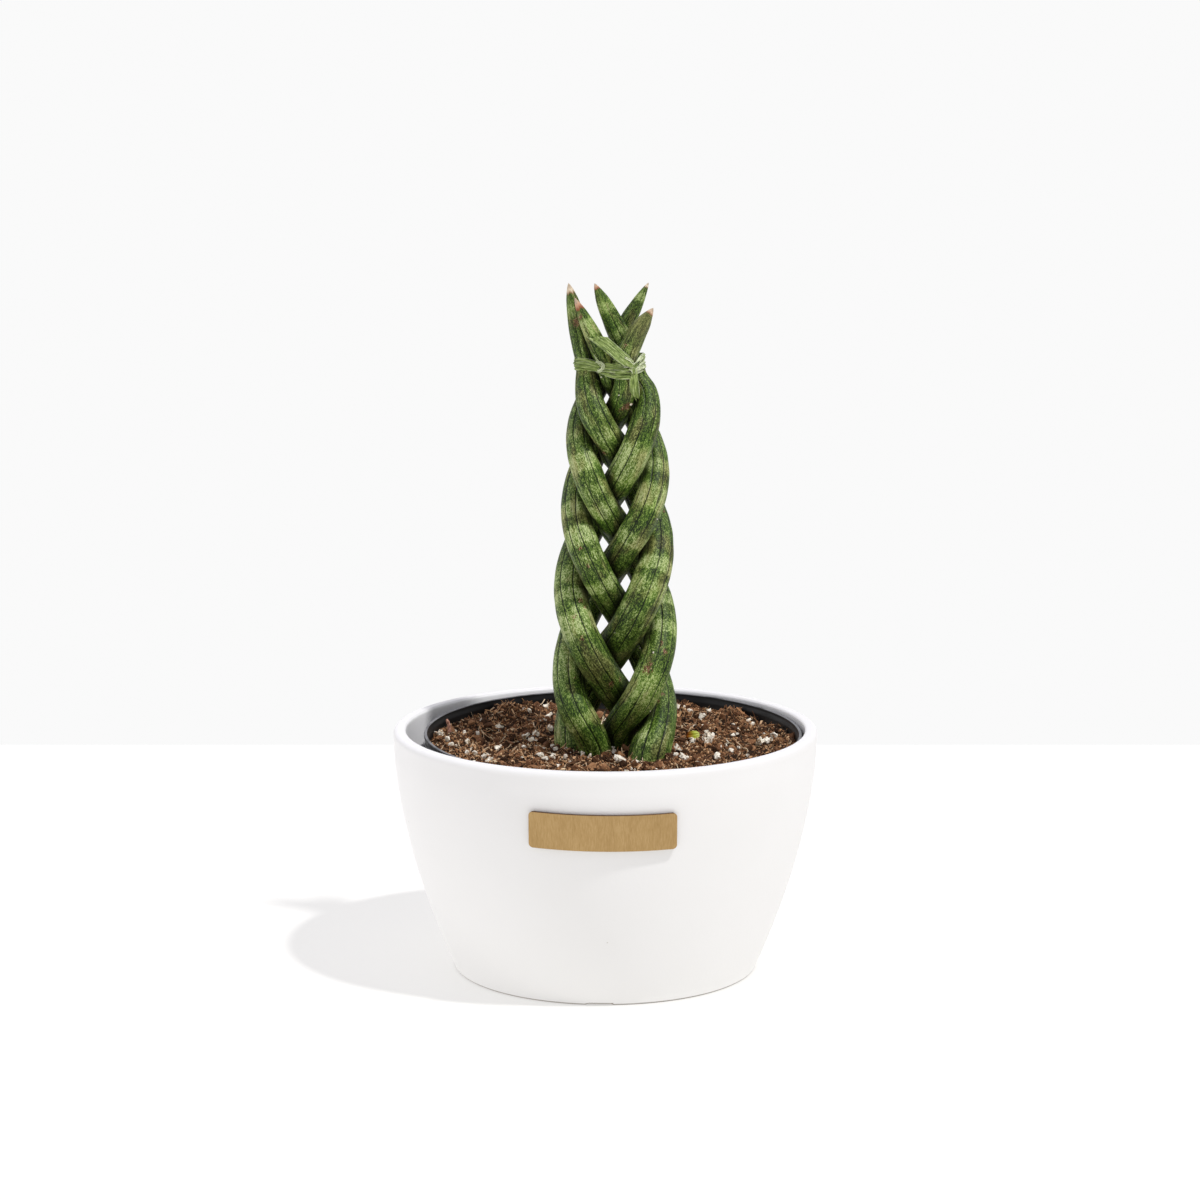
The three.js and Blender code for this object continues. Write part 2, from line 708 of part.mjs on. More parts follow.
function tieTail(leaves, tail) {
  const { from, to, width, end, thickness } = tail;
  const run = new THREE.Vector2(to[0] - from[0], to[1] - from[1]);
  const sideways = new THREE.Vector2(-run.y, run.x).normalize();
  const fronts = [];
  const steps = 8;
  for (let step = 0; step <= steps; step++) {
    const x = mix(from[0], to[0], step / steps);
    const z = mix(from[1], to[1], step / steps);
    const offsets = [-1, 0, 1].map((side) => {
      const half = (side * mix(width, end, step / steps)) / 2;
      return frontOf(leaves, x + sideways.x * half, z + sideways.y * half);
    });
    fronts.push(Math.min(...offsets));
  }
  const rings = fronts.map((front, step) => {
    const near = fronts.slice(Math.max(step - 1, 0), step + 2);
    const back = Math.min(...near) - TOUCH - TIE.thickness * (1 - ease(0, 3, step));
    const half = mix(width, end, step / steps) / 2;
    const x = mix(from[0], to[0], step / steps);
    const z = mix(from[1], to[1], step / steps);
    const corner = (side, y) =>
      new THREE.Vector3(x + sideways.x * half * side, y, z + sideways.y * half * side);
    return [corner(-1, back), corner(1, back), corner(1, back - thickness), corner(-1, back - thickness)];
  });
  return solidFrom(skinned(rings));
}

function tie(leaves) {
  const around = [-1, 0, 1].flatMap((across) => [-1, 0, 1].map((up) =>
    frontOf(leaves, KNOT.x + across * KNOT.size[0], KNOT.z + up * KNOT.size[2])));
  const front = Math.min(...around);
  const knot = new THREE.IcosahedronGeometry(1, 1).scale(...KNOT.size);
  knot.translate(KNOT.x, front - TOUCH - KNOT.size[1], KNOT.z);
  let whole = tieBand(leaves).add(solidFrom(knot));
  TAILS.forEach((tail) => {
    whole = whole.add(tieTail(leaves, tail));
  });
  return geometryFrom(whole);
}

// ---- The whole plant ----

const whiteCeramic = new THREE.MeshStandardMaterial({ color: 0xf1f1f0, roughness: 0.55 });
const brass = new THREE.MeshStandardMaterial({ color: 0xa8823f, roughness: 0.4, metalness: 1 });
const blackPlastic = new THREE.MeshStandardMaterial({ color: 0x1b1c20, roughness: 0.45 });
const peat = new THREE.MeshStandardMaterial({ color: 0x5b3b26, roughness: 0.95 });
const leafGreen = new THREE.MeshStandardMaterial({ color: 0x47662c, roughness: 0.5 });
const raffia = new THREE.MeshStandardMaterial({ color: 0x7fa552, roughness: 0.6 });
const paleGreen = new THREE.MeshStandardMaterial({ color: 0x9aa522, roughness: 0.6 });
const redBark = new THREE.MeshStandardMaterial({ color: 0x7a4236, roughness: 0.8 });

const leaves = LEAVES.map((leaf) => {
  const rest = leafPath(leaf);
  const path = rest.map((point) => point.clone());
  return { ...leaf, rest, path, radii: leafRadii(leaf, rest) };
});
settle(leaves);

const plant = new THREE.Group();
plant.add(piece("outer_pot", coverPot(), whiteCeramic));
plant.add(piece("plate", plate(), brass));
plant.add(piece("nursery_pot", growerPot(), blackPlastic));
plant.add(piece("soil", soil(leaves), peat));
leaves.forEach((leaf) => plant.add(piece(leaf.name, leafSkin(leaf, leaves), leafGreen)));
plant.add(piece("tie", tie(leaves), raffia));
plant.add(piece("leaf_scrap", leafScrap(), paleGreen));
plant.add(piece("twig", twigSkin(0), redBark));

export default plant;
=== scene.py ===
import math

import bmesh
import bpy
import numpy as np
from mathutils import Matrix, Vector, geometry, noise
from mathutils.bvhtree import BVHTree


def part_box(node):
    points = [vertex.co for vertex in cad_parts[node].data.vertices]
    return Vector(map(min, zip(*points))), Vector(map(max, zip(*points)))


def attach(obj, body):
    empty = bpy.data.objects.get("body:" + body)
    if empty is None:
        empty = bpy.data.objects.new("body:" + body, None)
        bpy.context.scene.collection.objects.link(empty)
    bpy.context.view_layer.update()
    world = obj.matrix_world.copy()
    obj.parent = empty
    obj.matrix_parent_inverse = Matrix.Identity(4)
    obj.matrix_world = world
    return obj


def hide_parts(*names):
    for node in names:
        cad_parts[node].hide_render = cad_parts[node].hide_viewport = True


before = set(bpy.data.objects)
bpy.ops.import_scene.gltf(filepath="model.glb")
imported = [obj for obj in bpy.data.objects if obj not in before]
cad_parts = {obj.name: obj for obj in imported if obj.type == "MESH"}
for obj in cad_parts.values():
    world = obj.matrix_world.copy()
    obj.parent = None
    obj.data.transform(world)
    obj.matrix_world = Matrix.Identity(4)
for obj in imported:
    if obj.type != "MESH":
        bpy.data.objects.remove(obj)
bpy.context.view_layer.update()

# ---- Sizes, in millimetres unless a comment says otherwise ----

MM = 0.001  # one millimetre in Blender's metres
WELD = 1e-6  # metres: corners this close are one corner

CAMERA = {"place": (-2.3, -1378, 403), "pitch": 10, "focal": 98.1, "sensor": 36}  # pitch in degrees
IMAGE_SIDE = 1200  # pixels along each side of the picture

COVER = {
    "base_radius": 65.2,
    "lip_radius": 91.1,
    "lip_height": 102.2,
    "flare": 1.72,
    "wall": 5.4,
    "floor": 6,
    "foot_round": 1.2,
    "lip_groove": 0.22,  # the depth of a shallow line under the lip
    "groove_below": 3.4,  # how far below the lip's edge that line is
    "groove_reach": 0.9,
    "lip_outside": 0.8,  # how square the lip is: 1 is a half circle
    "lip_inside": 0.45,
    "sides": 240,
}
NOTCH = {"left": -8, "right": 2, "height": 0.8, "inner_radius": 60}  # the air notch under the front edge
PLATE = {
    "width": 60.5,
    "height": 15.6,
    "middle": 80.05,
    "bow": 0.35,  # its ends stand this much higher than its middle
    "thickness": 1.4,
    "corner": 1.8,
    "shift": -1.2,
    "clear": 0.3,
    "bevel": 0.28,
    "bends": 60,  # cuts across it, so that it can follow the pot
    "tilt": 0.0085,  # it is stuck on a little askew: its right end is lower
    "dark_edge": 0.3,  # how far the painted shade, in brown, along its upper edge reaches down its face
}
GROWER = {
    "shift": 3.3,
    "base_radius": 56,
    "shoulder_radius": 77.6,
    "rim_radius": 81.3,
    "collar_inside": 79.3,
    "shoulder": 92,
    "rim": 102.6,
    "rim_width": 1.3,
    "wall": 1.3,
    "bottom": 6.3,
    "floor": 1.6,
    "sides": 200,
    "lean": (-0.003, 0.019),  # its thin wall is out of true: the rim rises to the back
}
DRAIN = {"count": 6, "radius": 5, "ring": 42, "sides": 24}  # the holes in the grower's pot's floor
SOIL = {"level": 95.5, "slope": (0.01, 0.035), "radius": 78.7, "bottom": 8.2, "rings": 150, "sides": 400}
# Heaps of soil against the wall: the middle of each one, how far it reaches, and its height.
HEAPS = [((-44, 58), 8, 4.8), ((-27, 68), 8, 1.4), ((36, 65), 6, 1.8), ((57, 51), 5, 3), ((-62, 36), 9, 2.2),
         ((-70, 12), 10, 3.2)]
ROUGHNESS = [(6.5, 2.1), (2.8, 1.7), (1.1, 0.7)]  # lumps of the soil's surface: their size and height
# Hollows and mounds that stand out: the pixel where the camera sees each one, how far it reaches, its height.
HOLLOWS = [((482, 742), 4.5, -2.8), ((484, 733), 3.2, 1.8), ((515, 743), 2.6, -2.0), ((571, 749), 2.6, -2.0),
           ((757, 739), 2.4, -1.6), ((725, 741), 2.4, -1.6), ((449, 737), 2.2, -2.0), ((700, 724), 2.6, -1.6),
           ((689, 741), 2.0, -1.6), ((520, 722), 3.0, -1.5), ((540, 743), 2.4, -1.5), ((651, 762), 2.2, -1.2),
           ((603, 711), 8.5, -4.6)]
CLEARINGS = {"twig": 2.1, "leaf_scrap": 1.6}  # no crumbs this near to the middle of these scraps
LEAF_NAMES = ["leaf_tall_left", "leaf_middle", "leaf_right_back", "leaf_left_front", "leaf_right_front"]
LEAF_STEP = 1.15  # between the rings of a leaf
TIP_STEPS = [0.35, 0.9, 1.6]  # how far the first rings are from the tip
LEAF_GIRTH = 6.6  # radius of the straightened leaf that the patterns are drawn on
LEAVES_APART = 400  # between the straightened leaves, so that no two share a pattern
# The grooves along a leaf: their depth, their width as a share of half a flute, how much the skin is rounded
# between them, how far the solid's valleys are filled first, and how far a groove strays from its valley.
GROOVE = {"depth": 0.34, "width": 0.105, "flute": 0.14, "lift": 0.55, "wander": 0.2}
# The skin's places across a flute, from -1 on one ridge through 0 in the valley to the next ridge.
ACROSS_FLUTE = np.array([-1, -0.76, -0.54, -0.34, -0.19, -0.09, 0, 0.09, 0.19, 0.34, 0.54, 0.76])
DENT = {"size": 7.5, "depth": 0.16}  # soft dents and swellings all over a leaf
BLUNT = {"reach": 4.5, "power": 0.72}  # how far from the tip a leaf is rounded off, and how much
CREVICE = 9  # how near another leaf must be for a leaf to be darkened there with painted shade
TIE = {
    "height": 261.4,
    "reach": 1.6,  # how far above and below that the leaves are measured for its way round them
    "back": 262,
    "spread": 0.9,  # how far apart its turns run at the back
    "thickness": 0.32,
    "pleat": 0.24,  # the depth of its lengthwise folds
    "fold": 1.2,  # the width of one fold
    "columns": 11,
    "step": 0.55,
}
# How worn its turns are at some distances from the knot.
WEAR = {"distances": [0, 8, 16], "worn": [0.85, 0.7, 0.12]}
FACES_FRONT = -0.12  # an outward direction with a smaller y than this faces the camera
STRAY = {"count": 110, "smallest": 0.3, "largest": 0.85}  # perlite that lies by itself, and its size
# The brightness of the white room.
WORLD = {"horizon": 0.72, "zenith": 0.92, "left_boost": 0.42, "back_boost": 0.3, "backdrop": 0.955}
# How bright the floor looks, how bright it lights the pot, and where it ends.
FLOOR = {"glow": 0.5, "bounce": 0.82}  # how bright the floor looks, and how bright it lights the pot
SUN = {"travel": (-0.423, 0.293, -0.857), "strength": 2.2, "spread": 3}  # the key lamp; spread in degrees


# ---- Small tools ----

def linear(colour):
    """Turns an sRGB hex colour into the linear one that the sockets take."""
    parts = [int(colour[i:i + 2], 16) / 255 for i in (1, 3, 5)]
    return [p / 12.92 if p <= 0.04045 else ((p + 0.055) / 1.055) ** 2.4 for p in parts] + [1]


def ease(low, high, value):
    """0 below low, 1 above high and smooth between them."""
    share = np.clip((value - low) / (high - low), 0, 1)
    return share * share * (3 - 2 * share)


def circle(count):
    """Angles evenly round a circle."""
    return np.linspace(0, 2 * math.pi, count, endpoint=False)


def in_scene(name, data):
    thing = bpy.data.objects.new(name, data)
    bpy.context.scene.collection.objects.link(thing)
    return thing


def as_mesh(name, shape):
    """Turns a bmesh into plain mesh data."""
    mesh = bpy.data.meshes.new(name)
    shape.to_mesh(mesh)
    shape.free()
    return mesh


def modified_mesh(piece):
    """The mesh of a piece as its modifiers leave it."""
    graph = bpy.context.evaluated_depsgraph_get()
    return bpy.data.meshes.new_from_object(piece.evaluated_get(graph), preserve_all_data_layers=True,
                                           depsgraph=graph)


def travelled(points):
    """How far along a line each of its places is."""
    return np.concatenate([[0], np.cumsum(np.linalg.norm(np.diff(points, axis=0), axis=1))])


def picked(points, along, even):
    """The places on a line at other distances along it."""
    return np.stack([np.interp(even, along, column) for column in points.T], 1)


def heap(x, y, middle, reach, tall):
    """How much a smooth heap round a middle, or a hollow if it is less than 0 tall, adds at each place."""
    return tall * np.exp(-((x - middle[0]) ** 2 + (y - middle[1]) ** 2) / (2 * reach ** 2))


def mesh_piece(name, vertices, faces, material, smooth=True):
    """A mesh object in the scene. Its vertices come in millimetres."""
    mesh = bpy.data.meshes.new(name)
    mesh.from_pydata((np.asarray(vertices, float) * MM).tolist(), [], faces)
    mesh.update()
    if smooth:
        mesh.shade_smooth()
    mesh.materials.append(material)
    return in_scene(name, mesh)


def paint(piece, name, values):
    """Stores one number, or one vector, for each vertex of a piece."""
    values = np.asarray(values, np.float32)
    kind, key = ("FLOAT_VECTOR", "vector") if values.ndim == 2 else ("FLOAT", "value")
    attribute = piece.data.attributes.new(name, kind, "POINT")
    attribute.data.foreach_set(key, values.ravel())


def spline(points, at, closed=False):
    """A Catmull-Rom curve through points, along their first axis, at fractional places."""
    count = len(points)
    start = np.floor(at).astype(int)
    share = (at - start).reshape((-1,) + (1,) * (points.ndim - 1))
    place = (lambda i: points[i % count]) if closed else (lambda i: points[np.clip(i, 0, count - 1)])
    a, b, c, d = (place(start + step) for step in (-1, 0, 1, 2))
    return 0.5 * (2 * b + (c - a) * share + (2 * a - 5 * b + 4 * c - d) * share ** 2
                  + (3 * b - a - 3 * c + d) * share ** 3)


def tube_faces(rings, around, caps=True):
    """The faces of a tube whose rings of vertices follow each other."""
    faces = []
    for ring in range(rings - 1):
        low, high = ring * around, (ring + 1) * around
        faces += [(low + i, low + (i + 1) % around, high + (i + 1) % around, high + i) for i in range(around)]
    if caps:
        faces += [tuple(range(around))[::-1], tuple(range((rings - 1) * around, rings * around))]
    return faces


def outward(piece):
    """Turns the faces of a closed piece outwards."""
    mesh = bmesh.new()
    mesh.from_mesh(piece.data)
    bmesh.ops.recalc_face_normals(mesh, faces=mesh.faces)
    mesh.to_mesh(piece.data)
    mesh.free()
    return piece


def turned(name, profile, sides, material, shift=0.0):
    """Spins (radius, height) points about the upright axis. A point of radius 0 becomes one vertex."""
    vertices, rows = [], []
    for radius, height in profile:
        angles = [2 * math.pi * i / sides for i in range(sides)] if radius else [0]
        rows.append(range(len(vertices), len(vertices) + len(angles)))
        vertices += [(shift + radius * math.cos(a), radius * math.sin(a), height) for a in angles]
    faces = []
    for low, high in zip(rows, rows[1:]):
        for i in range(sides):
            j = (i + 1) % sides
            corners = [low[i % len(low)], low[j % len(low)], high[j % len(high)], high[i % len(high)]]
            faces.append(tuple(dict.fromkeys(corners)))
    return outward(mesh_piece(name, vertices, faces, material))


def belongs(piece, slot, *nodes):
    """Seats a finished piece on the part and hides the CAD nodes that it stands for."""
    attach(piece, "root")
    if nodes:
        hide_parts(*nodes)
    return piece


# ---- Materials ----

def add(tree, kind, inputs=None, **settings):
    """Adds a node with its settings. Each input gets a value or the socket it is fed from."""
    node = tree.nodes.new(kind)
    for key, value in settings.items():
        setattr(node, key, value)
    for key, value in (inputs or {}).items():
        if isinstance(value, bpy.types.NodeSocket):
            tree.links.new(value, node.inputs[key])
        else:
            node.inputs[key].default_value = value
    return node


def new_material(name, **surface):
    """A material with its own shader, and the node tree that the caller goes on with."""
    material = bpy.data.materials.new(name)
    material.use_nodes = True
    tree = material.node_tree
    shader = tree.nodes["Principled BSDF"]
    for key, value in surface.items():
        shader.inputs[key.replace("_", " ")].default_value = value
    return material, tree, shader


def ramp(tree, factor, stops, interpolation="LINEAR"):
    """A colour ramp through (position, hex colour or grey level) stops, as its colour output."""
    node = add(tree, "ShaderNodeValToRGB", {"Fac": factor})
    node.color_ramp.interpolation = interpolation
    while len(node.color_ramp.elements) < len(stops):
        node.color_ramp.elements.new(0.5)
    for element, (position, colour) in zip(node.color_ramp.elements, stops):
        element.position = position
        element.color = linear(colour) if isinstance(colour, str) else (colour, colour, colour, 1)
    return node.outputs["Color"]


def mixed(tree, factor, first, second, blend="MIX"):
    """Mixes two colours. A hex colour or a socket serves for each."""
    sides = [linear(side) if isinstance(side, str) else side for side in (first, second)]
    node = add(tree, "ShaderNodeMix", {0: factor, 6: sides[0], 7: sides[1]}, data_type="RGBA",
               blend_type=blend)
    return node.outputs[2]


def sum_of(tree, first, second, operation="ADD", clamp=False):
    node = add(tree, "ShaderNodeMath", {0: first, 1: second}, operation=operation, use_clamp=clamp)
    return node.outputs[0]


def stretched(tree, vector, scale):
    return add(tree, "ShaderNodeMapping", {"Vector": vector, "Scale": scale}).outputs["Vector"]


def clouds(tree, vector, scale, detail=2.0, roughness=0.5):
    node = add(tree, "ShaderNodeTexNoise",
               {"Vector": vector, "Scale": scale, "Detail": detail, "Roughness": roughness})
    return node.outputs["Fac"]


def range_of(tree, value, low, high):
    """0 below low, 1 above high and smooth between them."""
    node = add(tree, "ShaderNodeMapRange", {"Value": value, "From Min": low, "From Max": high},
               interpolation_type="SMOOTHSTEP")
    return node.outputs["Result"]


def relief(tree, shader, height, depth, strength=1.0):
    """Bump of the given depth in millimetres."""
    bump = add(tree, "ShaderNodeBump", {"Height": height, "Distance": depth * MM, "Strength": strength})
    tree.links.new(bump.outputs["Normal"], shader.inputs["Normal"])


def living_leaf():
    """Leaf of a cylindrical snake plant: a tough, faintly waxy skin. Dark green, with paler cross bands whose
    edges fray along the fibres, flecks of yellow green, dark grooves, painted shade where leaves press
    together, corky scars and a dry horny tip."""
    material, tree, shader = new_material("living_leaf_skin", Roughness=0.52, Specular_IOR_Level=0.22)
    skin = add(tree, "ShaderNodeAttribute", attribute_name="skin").outputs["Vector"]
    groove, scar, dry, rust, pale, olive, crevice = (
        add(tree, "ShaderNodeAttribute", attribute_name=name).outputs["Fac"]
        for name in ("groove", "scar", "dry", "rust", "pale", "olive", "crevice"))

    fibres = clouds(tree, stretched(tree, skin, (1, 1, 0.09)), 1.0, 2.0, 0.6)
    drift = clouds(tree, stretched(tree, skin, (1, 1, 0.4)), 0.2, 2.0)
    flecks = clouds(tree, stretched(tree, skin, (1, 1, 0.62)), 1.4, 3.0, 0.75)
    patches = clouds(tree, stretched(tree, skin, (1, 1, 0.3)), 0.4, 2.0)
    frayed = sum_of(tree, pale, sum_of(tree, fibres, 0.9, "MULTIPLY"))
    frayed = sum_of(tree, frayed, sum_of(tree, drift, 0.8, "MULTIPLY"))
    bands = sum_of(tree, range_of(tree, frayed, 0.98, 1.5), sum_of(tree, pale, 0.3, "MULTIPLY"))
    tone = sum_of(tree, sum_of(tree, bands, 0.24, "MULTIPLY"),
                  sum_of(tree, range_of(tree, patches, 0.3, 0.7), 0.22, "MULTIPLY"))
    specks = clouds(tree, stretched(tree, skin, (1, 1, 0.8)), 2.4, 2.0, 0.7)
    tone = sum_of(tree, tone, sum_of(tree, range_of(tree, flecks, 0.4, 0.61), 0.31, "MULTIPLY"))
    tone = sum_of(tree, tone, sum_of(tree, range_of(tree, specks, 0.44, 0.6), 0.3, "MULTIPLY"))
    colour = ramp(tree, tone, [(0.08, "#121b06"), (0.28, "#2c400e"), (0.46, "#4b641e"), (0.66, "#7a8f45"),
                               (0.9, "#b5c088")])
    vivid = range_of(tree, clouds(tree, stretched(tree, skin, (1, 1, 0.5)), 0.1, 1.0), 0.5, 0.68)
    fresh = ramp(tree, tone, [(0.08, "#162805"), (0.4, "#3c5a15"), (0.66, "#739038"), (0.9, "#b4c27a")])
    colour = mixed(tree, sum_of(tree, vivid, 0.7, "MULTIPLY"), colour, fresh)
    weathered = range_of(tree, clouds(tree, stretched(tree, skin, (1, 1, 0.5)), 0.17, 2.0), 0.48, 0.66)
    colour = mixed(tree, sum_of(tree, weathered, 0.42, "MULTIPLY"), colour,
                   mixed(tree, range_of(tree, tone, 0.15, 0.75), "#463f1e", "#98895c"))
    colour = mixed(tree, olive, colour, mixed(tree, range_of(tree, tone, 0.15, 0.75), "#414622", "#8d8c56"))
    ridge = sum_of(tree, clouds(tree, stretched(tree, skin, (1, 1, 0.03)), 0.62, 0.0), 0.5, "SUBTRACT")
    hairline = sum_of(tree, ridge, 0.0, "ABSOLUTE")
    lines = sum_of(tree, range_of(tree, hairline, 0.022, 0.004), patches, "MULTIPLY")
    colour = mixed(tree, lines, colour, "#16240b")
    colour = mixed(tree, sum_of(tree, range_of(tree, groove, 0.28, 0.7), 0.96, "MULTIPLY", True), colour,
                   "#060b02")
    # Painted shade: the skin is darkened where other leaves lie close in front of it.
    painted_crevice_shade = sum_of(tree, range_of(tree, crevice, 0.14, 0.64), 0.72, "MULTIPLY")
    colour = mixed(tree, painted_crevice_shade, colour, "#15150a")

    crust = clouds(tree, skin, 1.5, 3.0, 0.75)
    cork = ramp(tree, specks, [(0.32, "#28120a"), (0.48, "#5c3322"), (0.6, "#9a6b52"), (0.68, "#d8c2a8")])
    torn = sum_of(tree, scar, sum_of(tree, crust, 3.4, "MULTIPLY"))
    colour = mixed(tree, sum_of(tree, range_of(tree, torn, 2.25, 2.5), 0.85, "MULTIPLY"), colour, cork)

    uneven = sum_of(tree, dry, sum_of(tree, patches, 0.7, "MULTIPLY"), "SUBTRACT")
    straw = ramp(tree, uneven, [(0.0, "#b8a78f"), (0.3, "#dccfb4"), (0.6, "#8a6c4b")])
    rusty = ramp(tree, uneven, [(0.0, "#b29a84"), (0.2, "#bd8765"), (0.5, "#8a4728")])
    colour = mixed(tree, range_of(tree, uneven, 0.72, 0.58), colour, mixed(tree, rust, straw, rusty))
    tree.links.new(colour, shader.inputs["Base Color"])

    ribs = clouds(tree, stretched(tree, skin, (1, 1, 0.09)), 2.6, 2.0)
    height = sum_of(tree, ribs, sum_of(tree, flecks, 0.6, "MULTIPLY"))
    relief(tree, shader, height, 0.13, 0.7)
    return material


def matt_glaze():
    """White earthenware with a matt glaze: almost no shine, faint grain and pin specks. Painted shade: grey
    along the bottom edge as a contact shadow. Painted light: the inside is painted much lighter than the
    outside, and is glossier.
    """
    material, tree, shader = new_material("white_matt_glaze", Roughness=0.52, Specular_IOR_Level=0.3)
    place = add(tree, "ShaderNodeTexCoord").outputs["Object"]
    cloudy = clouds(tree, place, 22, 3.0)
    inside = add(tree, "ShaderNodeAttribute", attribute_name="inside").outputs["Fac"]
    # Painted light: the inside wall is painted much lighter than the outside glaze, standing in for the light
    # it gets.
    colour = mixed(tree, inside, mixed(tree, cloudy, "#dedddb", "#e2e1e0"), "#fcfbfb")
    specks = add(tree, "ShaderNodeTexVoronoi", {"Vector": place, "Scale": 75}).outputs["Distance"]
    colour = mixed(tree, range_of(tree, specks, 0.035, 0.015), colour, "#bdb8b0")
    # Painted shade: the bottom edge and the air notch are greyed as a contact shadow.
    foot = add(tree, "ShaderNodeAttribute", attribute_name="foot").outputs["Fac"]
    colour = mixed(tree, range_of(tree, foot, 0.2, 0.8), colour, "#857e76")
    tree.links.new(colour, shader.inputs["Base Color"])
    tree.links.new(range_of(tree, inside, 2.2, -1.9), shader.inputs["Roughness"])
    grain = clouds(tree, place, 900, 2.0)
    relief(tree, shader, sum_of(tree, grain, sum_of(tree, cloudy, 3.0, "MULTIPLY")), 0.06, 0.5)
    return material


def antique_brass():
    """Brass sheet, brushed upright and aged: dull streaks from fine brush lines, and painted shade in dark
    brown along its upper edge.
    """
    material, tree, shader = new_material("antique_brushed_brass", Metallic=1.0, Roughness=0.36)
    place = add(tree, "ShaderNodeTexCoord").outputs["Object"]
    lines = clouds(tree, stretched(tree, place, (1, 1, 0.02)), 2200, 3.0, 0.6)
    broad = clouds(tree, stretched(tree, place, (1, 1, 0.12)), 240, 2.0)
    tone = sum_of(tree, sum_of(tree, lines, 0.8, "MULTIPLY"), sum_of(tree, broad, 0.2, "MULTIPLY"))
    colour = ramp(tree, tone, [(0.3, "#92774e"), (0.5, "#a1855a"), (0.7, "#b0956a")])
    brown = add(tree, "ShaderNodeAttribute", attribute_name="brown").outputs["Fac"]
    # Painted shade: a dark brown band along the plate's upper edge.
    colour = mixed(tree, range_of(tree, brown, 0.25, 0.75), colour, "#6a4c30")
    tree.links.new(colour, shader.inputs["Base Color"])
    tree.links.new(ramp(tree, lines, [(0.3, 0.34), (0.7, 0.52)]), shader.inputs["Roughness"])
    relief(tree, shader, lines, 0.02, 0.5)
    return material


def grower_plastic():
    """Thin injection-moulded polypropylene, black and faintly blue, with dust, fine scuffs and a painted
    highlight in light grey along the top of its rim.
    """
    material, tree, shader = new_material("black_moulded_polypropylene", Roughness=0.42,
                                          Specular_IOR_Level=0.3)
    place = add(tree, "ShaderNodeTexCoord").outputs["Object"]
    dust = clouds(tree, place, 650, 4.0, 0.7)
    scuffs = clouds(tree, stretched(tree, place, (1, 1, 6)), 90, 3.0)
    colour = mixed(tree, range_of(tree, dust, 0.66, 0.8), "#030304", "#2c2c2e")
    grit = add(tree, "ShaderNodeTexVoronoi", {"Vector": place, "Scale": 100}).outputs["Distance"]
    colour = mixed(tree, range_of(tree, grit, 0.04, 0.022), colour, "#b4aea6")
    # Painted highlight: light grey where the rim's top is marked worn, broken up by the scuffs.
    worn = add(tree, "ShaderNodeAttribute", attribute_name="worn").outputs["Fac"]
    colour = mixed(tree, range_of(tree, sum_of(tree, worn, scuffs, "MULTIPLY"), 0.3, 0.55), colour, "#6a6a6c")
    tree.links.new(colour, shader.inputs["Base Color"])
    tree.links.new(ramp(tree, scuffs, [(0.3, 0.34), (0.7, 0.58)]), shader.inputs["Roughness"])
    relief(tree, shader, scuffs, 0.05, 0.4)
    return material


def potting_mix(name="peat", shades=("#100a05", "#281a0f", "#4c3422", "#74543a")):
    """Peat and coir: matt, reddish brown where it is dry, nearly black in the crevices between crumbs."""
    material, tree, shader = new_material(name, Roughness=0.95, Specular_IOR_Level=0.15)
    place = add(tree, "ShaderNodeTexCoord").outputs["Object"]
    tone = add(tree, "ShaderNodeAttribute", attribute_name="tone").outputs["Fac"]
    grain = clouds(tree, place, 900, 3.0, 0.7)
    damp = clouds(tree, place, 70, 2.0)
    mix = sum_of(tree, sum_of(tree, grain, 0.4, "MULTIPLY"), sum_of(tree, damp, 0.3, "MULTIPLY"))
    mix = sum_of(tree, mix, sum_of(tree, tone, 0.45, "MULTIPLY"))
    colour = ramp(tree, mix, list(zip((0.25, 0.45, 0.65, 0.9), shades)))
    tree.links.new(colour, shader.inputs["Base Color"])
    relief(tree, shader, grain, 0.3, 0.8)
    return material


def potting_mix_crumb():
    return potting_mix("peat_crumb", ("#150b06", "#694730", "#b88a62", "#f0d2a8"))


def coir_fibre():
    """Coconut fibre and bark slivers: thin, dry, from straw to red brown."""
    material, tree, shader = new_material("coir_fibre", Roughness=0.85, Specular_IOR_Level=0.2)
    tone = add(tree, "ShaderNodeAttribute", attribute_name="tone").outputs["Fac"]
    colour = ramp(tree, tone, [(0.0, "#4a2e1b"), (0.4, "#946744"), (0.75, "#c99d71"), (1.0, "#ead5b3")])
    tree.links.new(colour, shader.inputs["Base Color"])
    return material


def perlite_grain():
    """Expanded volcanic glass: chalk white, crumbly and full of tiny pits, with a little soil on it."""
    material, tree, shader = new_material("perlite", Roughness=0.9, Specular_IOR_Level=0.2)
    place = add(tree, "ShaderNodeTexCoord").outputs["Object"]
    pits = clouds(tree, place, 1500, 3.0, 0.7)
    dirt = clouds(tree, place, 330, 2.0)
    colour = mixed(tree, range_of(tree, dirt, 0.52, 0.7), "#f3ecdc", "#9a8468")
    tree.links.new(colour, shader.inputs["Base Color"])
    relief(tree, shader, pits, 0.35, 0.9)
    return material


